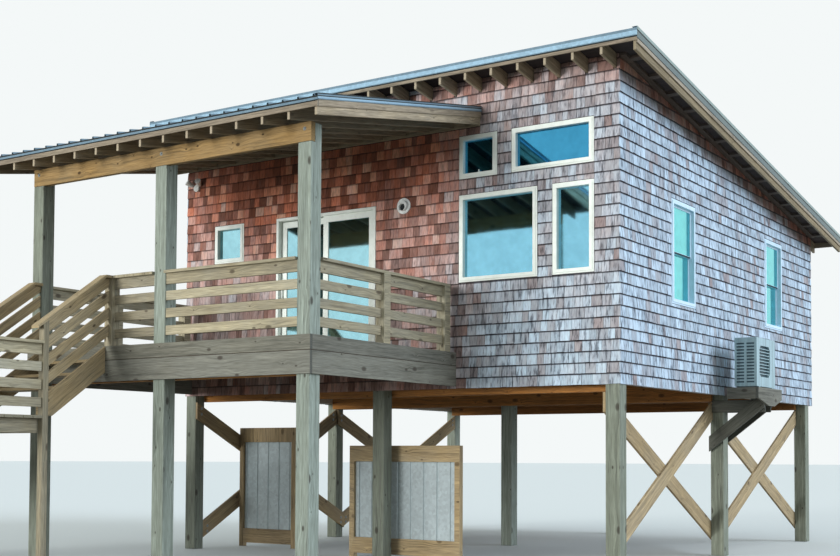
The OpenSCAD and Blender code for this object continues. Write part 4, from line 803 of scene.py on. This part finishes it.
class HOUSE_OT_shingle_walls(bpy.types.Operator):
    """Covers the four outer walls with courses of tapered cedar shingles"""

    bl_idname = "house.shingle_walls"
    bl_label = "Shingle Walls"

    def execute(self, context):
        settings = context.scene.house_shingles
        # The butts face down; their dark end grain is painted shade as well as end grain
        materials = [cedar_shingles("Weathered_red_cedar_shingles", settings),
                     end_grain("Red_cedar_butts", "#4a3a38")]
        front, right, back, left = self.find_holes()
        width, depth = WALL_X1 - WALL_X0, WALL_Y1 - WALL_Y0
        # The front and back are shingled up between the rafters, the sides up to the flat boards
        under, under_back = 0.003, 0.006
        walls = (
            ("front_shingles", (WALL_X0, WALL_Y0), (1, 0), (0, -1), width, front, True,
             lambda s: roof_underside(WALL_Y0) + RAFTER_RISE - under),
            ("right_shingles", (WALL_X1, WALL_Y0), (0, 1), (1, 0), depth, right, False,
             lambda s: roof_underside(WALL_Y0 + s) + RAFTER_RISE - BOARD_T - under),
            ("back_shingles", (WALL_X1, WALL_Y1), (-1, 0), (0, 1), width, back, True,
             lambda s: roof_underside(WALL_Y1) + RAFTER_RISE - under_back),
            ("left_shingles", (WALL_X0, WALL_Y1), (0, -1), (-1, 0), depth, left, False,
             lambda s: roof_underside(WALL_Y1 - s) + RAFTER_RISE - BOARD_T - under),
        )
        for name, corner, along, out, length, holes, first_past, top in walls:
            wall = Wall(name, Vector((*corner, WALL_FOOT)), Vector((*along, 0)), Vector((*out, 0)),
                        length, top, holes, first_past)
            shingle_wall(wall, settings, materials)
        shell = wall_shell("Wall_paper_and_plasterboard")
        for node in ("front_wall_left", "front_wall_right", "front_wall_over_door", "right_wall",
                     "left_wall", "back_wall", "eave_blocks"):
            paint_node(node, shell)
        return {"FINISHED"}

    def find_holes(self):
        """What the shingles of the front, right, back and left walls are cut round, as (s0, s1, z0, z1)."""
        play, deck_play, sill_play = 0.004, 0.002, 0.02
        windows = solids("window_frames")
        door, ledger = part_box("door_frame"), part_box("porch_ledger")
        joists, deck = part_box("deck_joists"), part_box("deck_floor")
        vent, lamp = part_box("wall_vent"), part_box("flood_light")

        def grown(s0, s1, z0, z1, by=play):
            return (s0 - by, s1 + by, z0 - by, z1 + by)

        front = [grown(lo.x - WALL_X0, hi.x - WALL_X0, lo.z, hi.z) for lo, hi in windows if lo.y < WALL_Y0]
        front.append(grown(door[0].x - WALL_X0, door[1].x - WALL_X0, door[0].z - sill_play, door[1].z))
        front.append(grown(ledger[0].x - WALL_X0, ledger[1].x - WALL_X0, ledger[0].z, ledger[1].z))
        front.append(grown(joists[0].x - WALL_X0, joists[1].x - WALL_X0, joists[0].z, deck[1].z, deck_play))
        # The vent is round, and the lamp's base is near its foot
        for (lo, hi), height in ((vent, (vent[0].z + vent[1].z) / 2), (lamp, lamp[0].z + 0.06)):
            reach = min(hi.x - lo.x, hi.z - lo.z) * 0.3
            middle = (lo.x + hi.x) / 2 - WALL_X0
            front.append((middle - reach, middle + reach, height - reach, height + reach))
        right = [grown(lo.y - WALL_Y0, hi.y - WALL_Y0, lo.z, hi.z) for lo, hi in windows if hi.x > WALL_X1]
        left = [grown(WALL_Y1 - hi.y, WALL_Y1 - lo.y, lo.z, hi.z) for lo, hi in windows if lo.x < WALL_X0]
        back = [grown(WALL_X1 - hi.x, WALL_X1 - lo.x, lo.z, hi.z) for lo, hi in windows if hi.y > WALL_Y1]
        low_eave = roof_underside(WALL_Y1) - play
        for lo, hi in solids("main_rafters"):
            front.append((lo.x - WALL_X0 - play, hi.x - WALL_X0 + play, WALL_TOP - play, WALL_TOP + 1))
            back.append((WALL_X1 - hi.x - play, WALL_X1 - lo.x + play, low_eave, WALL_TOP))
        return front, right, back, left


# Timber


class HOUSE_OT_dress_timber(bpy.types.Operator):
    """Gives the piles, framing, rails and stairs eased edges and grain along each board"""

    bl_idname = "house.dress_timber"
    bl_label = "Dress Timber"

    def execute(self, context):
        settings = context.scene.house_timber
        edge, stair = settings.edge, blend_tint(settings.golden, settings.weathered, 0.5)
        # Name, tint, the grey it turns, strength of its knots, how grey it is, tone of its ends, edge, nodes
        timbers = (
            ("Treated_pine_fresh", settings.golden, "#a39a84", 0.95, 0.35, 0.9, edge, ("porch_beam",)),
            ("Treated_pine_stair", stair, "#a5a08e", 0.9, 0.5, 0.8,
             edge, ("upper_flight", "lower_flight", "upper_stair_rails", "lower_stair_rails")),
            ("Treated_pine_framing", settings.framing, "#a08a66", 0.8, 0.3, 0.85,
             edge, ("floor_girders", "floor_joists", "deck_girder", "deck_joists")),
            ("Treated_pine_braces", settings.brace, "#a9a294", 0.7, 0.35, 0.8,
             edge, ("falling_braces", "rising_braces", "screen_frames")),
            ("Treated_pine_weathered", settings.weathered, "#b5b5a8", 0.8, 0.6, 0.8,
             edge, ("right_rail", "front_rail", "left_rail", "landing_posts", "landing_guard")),
            ("Treated_pine_rim", settings.rim, "#878b86", 0.8, 0.6, 0.75,
             edge, ("deck_rim", "air_unit_shelf")),
            ("Treated_pine_brackets", shade(settings.rim, 0.8), "#6c7268", 0.8, 0.6, 0.75,
             edge, ("air_unit_arms", "air_unit_braces")),
            ("Treated_piles_old", settings.pile, "#8b958a", 0.85, 0.6, 0.7,
             settings.post_edge, ("house_piles", "porch_posts")),
            ("Spruce_rafters", settings.tails, "#a09a90", 0.5, 0.5, 1.0,
             edge, ("main_rafters", "porch_rafters", "porch_ledger")),
            ("Spruce_lookouts", settings.soffit, "#75706a", 0.5, 0.5, 1.0, edge, ("lookouts",)),
            ("Spruce_barge_boards", settings.barge, "#a39c88", 0.4, 0.5, 0.9, edge, ("barge_rafters",)),
            ("Spruce_strips", settings.strip, "#b3a79b", 0.3, 0.4, 0.85,
             settings.strip_edge, ("main_fascia", "porch_fascia")),
        )
        for name, tint, grey, knots, wear, ends, radius, nodes in timbers:
            # The beam is the newest timber, so its small knots show best
            knot_scale = (2.9, 4.6) if "porch_beam" in nodes else (1.9, 3.4)
            materials = [sawn_timber(name, tint, grey, knots, wear, knot_scale),
                         end_grain(name + "_ends", shade(tint, ends))]
            for node in nodes:
                dress_timber(node, materials, radius)
        # The sheathing's near-black tint is painted shade, for boards seen only from below
        sheathing = boarding("Roof_sheathing_boards", "#382a28", 0.142)
        for node in ("main_roof_boards", "porch_roof_boards"):
            paint_node(node, sheathing)
        paint_node("house_floor", boarding("Pine_floor_boards", "#b08a5c", 0.09))
        return {"FINISHED"}


def plank_floor(name, node, low, high, settings, posts, materials, frame_boards=()):
    """Boards along X between two corners, cut round the posts, with any boards of the frame under them."""
    bm = bmesh.new()
    depth = high.y - low.y
    gap, clear, shortest = settings.board_gap, 0.004, 0.03
    count = round(depth / (settings.board_width + gap))
    pitch = depth / count
    for i in range(count):
        y0, y1 = low.y + i * pitch + gap / 2, low.y + (i + 1) * pitch - gap / 2
        cuts = sorted((lo.x - clear, hi.x + clear) for lo, hi in posts
                      if lo.y - clear < y1 and hi.y + clear > y0)
        x = low.x
        for a, b in [*cuts, (high.x, high.x)]:
            if a - x > shortest:
                block(bm, (x, y0, low.z), (a, y1, high.z))
            x = max(x, b)
    for lo, hi in frame_boards:
        block(bm, lo, hi)
    mark_ends(bm)
    ease_edges(bm, settings.edge)
    lay_grain(bm, name)
    return finish_piece(bm, name, materials, BODY, (node,))


class HOUSE_OT_lay_boards(bpy.types.Operator):
    """Lays the boards of the deck and of the stair's landing, and a dark strip of dirt and painted shadow
    between the rim's boards
    """

    bl_idname = "house.lay_boards"
    bl_label = "Lay Boards"

    def execute(self, context):
        settings = context.scene.house_timber
        materials = [bpy.data.materials["Treated_pine_weathered" + end] for end in ("", "_ends")]
        low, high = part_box("deck_floor")
        plank_floor("deck_boards", "deck_floor", low, high, settings, solids("porch_posts"), materials)
        low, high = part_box("landing")
        posts = [post for post in solids("landing_posts") if post[0].y < high.y - 0.01]
        side = posts[0][1].x - posts[0][0].x
        x0, x1, under = low.x + side, high.x - side, high.z - BOARD_T
        frame_boards = [
            ((x0, low.y, low.z), (x0 + BOARD_T, high.y, under)),
            ((x1 - BOARD_T, low.y, low.z), (x1, high.y, under)),
            ((x0 + BOARD_T, low.y, low.z), (x1 - BOARD_T, low.y + BOARD_T, under)),
            ((x0 + BOARD_T, high.y - BOARD_T, low.z), (x1 - BOARD_T, high.y, under)),
        ]
        plank_floor("landing_boards", "landing", Vector((low.x, low.y, under)), high, settings, posts,
                    materials, frame_boards)
        self.dirt_and_shadow_seam()
        return {"FINISHED"}

    def dirt_and_shadow_seam(self):
        """A dark strip of dirt and painted shadow between the rim's two courses of boards, on its three outer
        faces.
        """
        low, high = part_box("deck_rim")
        seam = min(hi.z for lo, hi in solids("deck_rim"))
        half, proud = 0.005, 0.001
        bm = bmesh.new()
        for x0, x1, y0, y1 in (
            (low.x, high.x, low.y - proud, low.y),
            (low.x - proud, low.x, low.y, high.y),
            (high.x, high.x + proud, low.y, high.y),
        ):
            block(bm, (x0, y0, seam - half), (x1, y1, seam + half))
        finish_piece(bm, "rim_seam", [end_grain("Dirt_between_boards", "#4a4238")])


# Roofs, windows and small parts

# The trim's plates stand back from its box by TRIM_LIP. A fold is (from, to, how far off, material),
# measured down from the top of a side trim or up from the foot of a front trim. A fold with a negative third
# number lies on the wood behind the front plate
TRIM_LIP, TRIM_PLATE = 0.006, 0.004
# The hem and the foot are lighter copies of the sheet, painted highlight; a crease is a dark copy, painted
# shadow, also where it lies on the wood behind the front plate
HEM, CREASE, FOOT = range(3)
SIDE_FOLDS = {
    "main_roof_trim": ((0.0, 0.044, 0.0035, HEM), (0.044, 0.060, 0.001, CREASE)),
    "porch_roof_trim": ((0.0, 0.010, 0.0035, CREASE), (0.030, 0.041, 0.001, CREASE),
                        (0.041, 0.068, 0.002, FOOT)),
}
FRONT_FOLDS = {
    "main_roof_trim": ((0.012, 0.066, 0.002, FOOT), (-0.014, 0.0, -0.0035, CREASE)),
    "porch_roof_trim": ((0.030, 0.048, 0.002, CREASE), (-0.012, 0.0, -0.0035, CREASE)),
}
SIDE_TRIM_HEIGHT = {"main_roof_trim": 0.144, "porch_roof_trim": 0.078}


class HOUSE_OT_finish_sheets(bpy.types.Operator):
    """Finishes the ribbed roof sheets, their trim and the screens under the floor"""

    bl_idname = "house.finish_sheets"
    bl_label = "Finish Sheets"

    def execute(self, context):
        settings = context.scene.house_sheets
        material = galvanised_sheet("Zinc_aluminium_sheet", settings.metal)
        for node in ("main_roof_metal", "porch_roof_metal", "porch_roof_trim"):
            paint_node(node, material)
        paint_node("screen_sheets", galvanised_sheet("Zinc_aluminium_screens", settings.screen))
        paint_node("main_roof_trim", galvanised_sheet("Zinc_aluminium_trim", settings.metal, settings.rake))
        # Lit and shaded copies of the trim's sheet: painted highlight on the hem and foot, painted shadow in
        # the creases
        materials = [
            galvanised_sheet("Zinc_aluminium_hem", shade(settings.rake, 1.35)),
            galvanised_sheet("Zinc_aluminium_crease", shade(settings.rake, 0.32)),
            galvanised_sheet("Zinc_aluminium_foot", shade(settings.metal, 1.35)),
        ]
        bm = bmesh.new()
        # The main roof falls to the back, the porch roof to the front
        self.fold_sides(bm, "main_roof_trim", 1)
        self.fold_sides(bm, "porch_roof_trim", -1)
        self.fold_front(bm, "main_roof_trim")
        self.fold_front(bm, "porch_roof_trim")
        finish_piece(bm, "trim_folds", materials)
        return {"FINISHED"}

    def fold_sides(self, bm, node, falls):
        """Folds along the two side trims of a roof that falls to the back, 1, or to the front, -1."""
        low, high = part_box(node)
        end = 0.012
        front, back = low.y + end, high.y - (end if falls > 0 else 0)
        slope = -falls * (high.z - low.z - SIDE_TRIM_HEIGHT[node]) / (back - front)
        top = high.z if falls > 0 else high.z - slope * (back - front)
        for upper, lower, proud, index in SIDE_FOLDS[node]:
            for face, out in ((low.x + TRIM_LIP, -proud), (high.x - TRIM_LIP, proud)):
                x0, x1 = sorted((face, face + out))
                verts = block(bm, (x0, front, top - lower), (x1, back, top - upper))
                for vert in verts:
                    vert.co.z += slope * (vert.co.y - front)
                for side in faces_of(verts):
                    side.material_index = index

    def fold_front(self, bm, node):
        """Folds along the front trim of a roof."""
        low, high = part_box(node)
        foot = min(v.co.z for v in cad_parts[node].data.vertices if v.co.y < low.y + 0.001)
        for lower, upper, proud, index in FRONT_FOLDS[node]:
            face = low.y + TRIM_LIP + (TRIM_PLATE if proud < 0 else 0)
            verts = block(bm, (low.x + TRIM_LIP, face - abs(proud), foot + lower),
                          (high.x - TRIM_LIP, face, foot + upper))
            for side in faces_of(verts):
                side.material_index = index


class HOUSE_OT_fit_windows(bpy.types.Operator):
    """Rounds the window and door frames, glazes them and puts dark seals of painted shadow under their upper
    sashes
    """

    bl_idname = "house.fit_windows"
    bl_label = "Fit Windows"

    def execute(self, context):
        settings = context.scene.house_sheets
        frames = vinyl("White_vinyl_extrusion", settings.vinyl, settings.side_vinyl)
        glass = coated_glass("Low_emissivity_glass", settings)
        corner = 0.004
        for node in ("window_frames", "door_frame", "door_fixed_leaf"):
            dress_shell(node, frames, corner)
        dress_shell("door_sliding_leaf", frames, corner, LEAF)
        for node in ("window_glass", "door_sliding_glass"):
            paint_node(node, glass)
        self.seal_sashes_with_painted_shadow()
        return {"FINISHED"}

    def seal_sashes_with_painted_shadow(self):
        """Dark pile seals under the upper sashes, where the double-hung windows' sashes meet; they paint the
        upper sash's shadow.
        """
        widest_rail, half, proud = 0.15, Vector((0, 0, 0.012)), 0.002
        copy = cad_copy("window_frames")
        frames = BVHTree.FromBMesh(copy)
        copy.free()
        panes = sorted(solids("window_glass"), key=lambda pane: pane[0].z)
        bm = bmesh.new()
        for low, high in panes:
            for above, _ in panes:
                # The pane over this one in the same window
                rail, shift = above.z - high.z, above - low
                if not (0 < rail < widest_rail and abs(shift.x) < 0.05 and abs(shift.y) < 0.05):
                    continue
                out = Vector((0, 1, 0))
                if low.x > WALL_X1 - WALL_T:
                    out = Vector((1, 0, 0))
                elif low.x < WALL_X0 + WALL_T:
                    out = Vector((-1, 0, 0))
                middle = Vector(((low.x + high.x) / 2, (low.y + high.y) / 2, high.z + rail * 0.35))
                place = frames.ray_cast(middle + out * 0.5, -out)[0]
                if place is None:
                    raise RuntimeError("no rail where two sashes meet")
                along = Vector((abs(out.y), abs(out.x), 0)) * (max(high.x - low.x, high.y - low.y) / 2)
                # A dark strip that stands in for the upper sash's shadow: painted shadow
                corners = [place - along - half, place + along + half + out * proud]
                block(bm, [min(pair) for pair in zip(*corners)], [max(pair) for pair in zip(*corners)])
        finish_piece(bm, "sash_seals", [pile_seal_painted_shadow("Polypropylene_pile")])


class HOUSE_OT_finish_small_parts(bpy.types.Operator):
    """Finishes the air unit, the wall vent and the flood light"""

    bl_idname = "house.finish_small_parts"
    bl_label = "Finish Small Parts"

    def execute(self, context):
        self.dress_air_unit()
        dress_shell("wall_vent", painted_steel("Painted_vent_hood", "#f2f6f4"), 0.003)
        dress_shell("flood_light", painted_steel("Painted_lamp_heads", "#e8ebe6"), 0.003)
        return {"FINISHED"}

    def dress_air_unit(self):
        """Pale housing; the coil behind its louvres and bars is dark, darker still as painted shade in those
        recesses.
        """
        low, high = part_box("air_unit")
        bars, louvre = 0.02, 0.008
        bm = cad_copy("air_unit")
        # Faces recessed behind the bars and louvres take the dark coil material, partly painted shade
        for face in bm.faces:
            centre, normal = face.calc_center_median(), face.normal
            behind_bars = normal.x > 0.9 and high.x - centre.x > bars
            behind_louvres = normal.y < -0.9 and louvre < centre.y - low.y < bars
            if behind_bars or behind_louvres:
                face.material_index = 1
        ease_edges(bm, 0.003, 2)
        materials = [painted_steel("Powder_coated_housing", "#a4c0c6"),
                     painted_steel("Coated_coil_fins", "#3d555d")]
        finish_piece(bm, "air_unit_shell", materials, replaced=("air_unit",))


class HOUSE_OT_hang_hardware(bpy.types.Operator):
    """Adds the vent's damper, the sliding leaf's handle and the latch of the small front window"""

    bl_idname = "house.hang_hardware"
    bl_label = "Hang Hardware"

    def execute(self, context):
        self.hang_damper()
        self.hang_handle()
        self.hang_latch()
        return {"FINISHED"}

    def hang_damper(self):
        """A dished flap that closes the vent's mouth, dark as painted shade in the mouth."""
        low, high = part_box("wall_vent")
        out, drop, rim, dish, thick = 0.0372, 0.02, 0.048, 0.034, 0.004
        bm = bmesh.new()
        place = Matrix.Translation(((low.x + high.x) / 2, WALL_Y0 - out, (low.z + high.z) / 2 - drop))
        bmesh.ops.create_cone(bm, cap_ends=True, segments=32, radius1=rim, radius2=dish, depth=thick,
                              matrix=place @ Matrix.Rotation(math.radians(90), 4, "X"))
        # The damper's dark paint is painted shade in the vent's mouth
        finish_piece(bm, "vent_damper", [painted_steel("Dark_damper", "#26282a")])

    def hang_handle(self):
        """A bar on two feet, near the stile's edge so that it stops short of the fixed leaf."""
        low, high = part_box("door_sliding_leaf")
        inset, height, stand_off, bar_depth = 0.022, 1.02, 0.022, 0.012
        half_width, half_length, foot_width, foot_at, foot_height = 0.009, 0.13, 0.008, 0.105, 0.012
        sunk = 0.0005
        x, y, z = low.x + inset, low.y, low.z + height
        bm = bmesh.new()
        block(bm, (x - half_width, y - stand_off - bar_depth, z - half_length),
              (x + half_width, y - stand_off, z + half_length))
        for foot in (z - foot_at, z + foot_at):
            block(bm, (x - foot_width, y - stand_off - sunk, foot - foot_height),
                  (x + foot_width, y + sunk, foot + foot_height))
        ease_edges(bm, 0.004, 2)
        enamel = painted_steel("Enamelled_handle", "#e9ece8")
        finish_piece(bm, "door_handle", [enamel], LEAF)

    def hang_latch(self):
        """The latch at the foot of the small window beside the porch roof."""
        door_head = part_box("door_frame")[1].z
        high_windows = [box for box in solids("window_frames")
                        if box[0].y < WALL_Y0 and box[0].z > door_head]
        low, high = min(high_windows, key=lambda box: box[0].x)
        sash_rail = 0.068
        place = Vector(((low.x + high.x) / 2, WALL_Y0, low.z + sash_rail))
        bm = bmesh.new()
        # Its base and its lever
        block(bm, place + Vector((-0.03, 0.020, -0.001)), place + Vector((0.03, 0.038, 0.014)))
        block(bm, place + Vector((-0.008, 0.012, 0.010)), place + Vector((0.008, 0.026, 0.045)))
        ease_edges(bm, 0.003, 2)
        finish_piece(bm, "window_latch", [bpy.data.materials["White_vinyl_extrusion"]])


def bolt(bm, place, out, radius=0.013):
    """Hexagon head on a round washer, facing out."""
    turn = Vector((0, 0, 1)).rotation_difference(Vector(out)).to_matrix().to_4x4()
    at = Matrix.Translation(place) @ turn
    for thick, reach, sides in ((0.003, radius * 1.9, 14), (0.013, radius, 6)):
        bmesh.ops.create_cone(bm, cap_ends=True, segments=sides, radius1=reach, radius2=reach * 0.94,
                              depth=thick, matrix=at @ Matrix.Translation((0, 0, thick / 2)))


class HOUSE_OT_drive_fasteners(bpy.types.Operator):
    """Bolts the beam, the girders and the braces to the posts and piles"""

    bl_idname = "house.drive_fasteners"
    bl_label = "Drive Fasteners"

    def execute(self, context):
        bm = bmesh.new()
        beam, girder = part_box("porch_beam"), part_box("deck_girder")
        margin, beam_share, pair = 0.07, 0.66, 0.045
        beam_height = beam[0].z + (beam[1].z - beam[0].z) * beam_share
        for lo, hi in solids("porch_posts"):
            middle = (lo.x + hi.x) / 2
            bolt(bm, Vector((middle, beam[0].y, beam_height)), (0, -1, 0))
            for z in (girder[0].z + margin, girder[1].z - margin):
                bolt(bm, Vector((middle, girder[1].y, z)), (0, 1, 0))
        for node in ("falling_braces", "rising_braces"):
            for lo, hi in solids(node):
                # The heads face the middle of the house
                inward = -1 if hi.x > -1 else 1
                for y, z in brace_ends(node, lo, hi):
                    for rise in (-pair, pair):
                        bolt(bm, Vector((lo.x if inward < 0 else hi.x, y, z + rise)), (inward, 0, 0))
        finish_piece(bm, "bolts", [zinc_fastener("Hot_dip_galvanised_bolt")])
        return {"FINISHED"}


def brace_ends(node, lo, hi):
    """Where the bolts of a brace's two ends are, as (y, z)."""
    inset, height = 0.1, 0.14
    low, high = lo.z + height, hi.z - height
    if node == "rising_braces":
        return [(lo.y + inset, low), (hi.y - inset, high)]
    return [(lo.y + inset, high), (hi.y - inset, low)]


# Stage


def hang_lamp(name, kind, power, towards, **settings):
    """A lamp on the side that towards points to. Panes mirror the room and not the lamps."""
    lamp = bpy.data.lights.new(name, kind)
    lamp.energy = power
    for key, value in settings.items():
        setattr(lamp, key, value)
    item = bpy.data.objects.new(name, lamp)
    item.rotation_mode = "QUATERNION"
    item.rotation_quaternion = Vector(towards).to_track_quat("Z", "Y")
    item.visible_glossy = False
    bpy.context.scene.collection.objects.link(item)
    return item


class HOUSE_OT_set_stage(bpy.types.Operator):
    """Sets the floor, the lights and the camera"""

    bl_idname = "house.set_stage"
    bl_label = "Set Stage"

    def execute(self, context):
        settings, scene = context.scene.house_stage, context.scene
        self.lay_floor(settings, scene)
        self.light_room(settings, scene)
        hang_lamp("key", "SUN", settings.key, (1.0, 0.26, 0.34), angle=math.radians(40),
                  color=linear("#e4efff")[:3])
        hang_lamp("fill", "SUN", settings.fill, (-0.30, -1.0, 0.09), angle=math.radians(22),
                  color=linear("#fbfbfa")[:3])
        # A wide box 25 m off, level with the deck, lights the wall up to the porch's rafters
        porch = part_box("porch_roof_boards")
        aim = Vector(((porch[0].x + porch[1].x) / 2 - 0.4, WALL_Y0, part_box("deck_floor")[1].z + 1.6))
        off = Vector((-8.5, -24.0, -1.5))
        softbox = hang_lamp("softbox", "AREA", settings.softbox, off, shape="RECTANGLE", size=6.0, size_y=3.0,
                            spread=math.radians(50))
        softbox.location = aim + off
        softbox.visible_camera = False
        self.aim_camera(scene)
        scene.view_settings.view_transform = "Standard"
        return {"FINISHED"}

    def lay_floor(self, settings, scene):
        """A pale round floor, which lights the undersides less than it shows."""
        bm = bmesh.new()
        bmesh.ops.create_circle(bm, cap_ends=True, segments=96, radius=260.0)
        mesh = bpy.data.meshes.new("studio_floor")
        bm.to_mesh(mesh)
        bm.free()
        floor = bpy.data.objects.new("studio_floor", mesh)
        scene.collection.objects.link(floor)
        material, tree, output = new_material("Studio_floor")
        diffuse = add(tree, "ShaderNodeLightPath").outputs["Is Diffuse Ray"]
        tints = {0: diffuse, 6: linear(settings.floor), 7: linear(settings.bounce)}
        tint = add(tree, "ShaderNodeMix", tints, **MIX).outputs[2]
        surface(tree, output, Base_Color=tint, Roughness=0.95)
        mesh.materials.append(material)

    def light_room(self, settings, scene):
        """Soft light from all round, in a room that is white where it is seen or mirrored."""
        scene.world = bpy.data.worlds.new("Studio")
        scene.world.use_nodes = True
        tree = scene.world.node_tree
        tree.nodes.clear()
        path = add(tree, "ShaderNodeLightPath").outputs
        seen = path["Is Camera Ray"]
        for ray in ("Is Glossy Ray", "Is Transmission Ray"):
            seen = add(tree, "ShaderNodeMath", {0: seen, 1: path[ray]}, operation="MAXIMUM").outputs[0]
        room = add(tree, "ShaderNodeBackground", {"Color": linear("#e9eff2"), "Strength": settings.room})
        white = add(tree, "ShaderNodeBackground", {"Color": linear("#f4f8f8"), "Strength": 1.0})
        mix = add(tree, "ShaderNodeMixShader", {0: seen, 1: room.outputs[0], 2: white.outputs[0]})
        add(tree, "ShaderNodeOutputWorld", {"Surface": mix.outputs[0]})

    def aim_camera(self, scene):
        """The camera where the photograph was taken."""
        lens = bpy.data.cameras.new("camera")
        lens.sensor_fit = "HORIZONTAL"
        lens.sensor_width = 36.0
        lens.lens = FOCAL_PX * lens.sensor_width / IMAGE_SIZE[0]
        lens.shift_y = (HORIZONTAL_MIDDLE_PX - IMAGE_SIZE[1] / 2) / IMAGE_SIZE[0]
        lens.clip_start, lens.clip_end = 0.1, 1000.0
        camera = bpy.data.objects.new("camera", lens)
        scene.collection.objects.link(camera)
        ahead = Vector((-math.sin(CAMERA_YAW) * math.cos(CAMERA_PITCH),
                        math.cos(CAMERA_YAW) * math.cos(CAMERA_PITCH), math.sin(CAMERA_PITCH)))
        right = Vector((math.cos(CAMERA_YAW), math.sin(CAMERA_YAW), 0))
        up = right.cross(ahead)
        turned = right * math.cos(CAMERA_ROLL) + up * math.sin(CAMERA_ROLL)
        up = up * math.cos(CAMERA_ROLL) - right * math.sin(CAMERA_ROLL)
        camera.matrix_world = Matrix((turned, up, -ahead)).transposed().to_4x4()
        camera.location = CAMERA_EYE
        scene.camera = camera


class HOUSE_PT_panel(bpy.types.Panel):
    """Lists the settings and the operators of the house"""

    bl_idname = "HOUSE_PT_panel"
    bl_label = "Beach House"
    bl_space_type = "VIEW_3D"
    bl_region_type = "UI"
    bl_category = "House"

    def draw(self, context):
        for group in SETTINGS:
            settings = getattr(context.scene, group)
            for key in settings.__annotations__:
                self.layout.prop(settings, key)
        for operator in OPERATORS:
            self.layout.operator(operator.bl_idname)


OPERATORS = (
    HOUSE_OT_set_stage,
    HOUSE_OT_shingle_walls,
    HOUSE_OT_dress_timber,
    HOUSE_OT_lay_boards,
    HOUSE_OT_finish_sheets,
    HOUSE_OT_fit_windows,
    HOUSE_OT_finish_small_parts,
    HOUSE_OT_hang_hardware,
    HOUSE_OT_drive_fasteners,
)
SETTINGS = {
    "house_shingles": ShingleSettings,
    "house_timber": TimberSettings,
    "house_sheets": SheetSettings,
    "house_stage": StageSettings,
}


def register():
    for item in (*SETTINGS.values(), *OPERATORS, HOUSE_PT_panel):
        bpy.utils.register_class(item)
    for name, group in SETTINGS.items():
        setattr(bpy.types.Scene, name, bpy.props.PointerProperty(type=group))


def unregister():
    for name in SETTINGS:
        delattr(bpy.types.Scene, name)
    for item in reversed((*SETTINGS.values(), *OPERATORS, HOUSE_PT_panel)):
        bpy.utils.unregister_class(item)


def main():
    register()
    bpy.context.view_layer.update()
    for operator in OPERATORS:
        group, name = operator.bl_idname.split(".")
        getattr(getattr(bpy.ops, group), name)()


if __name__ == "__main__":
    main()
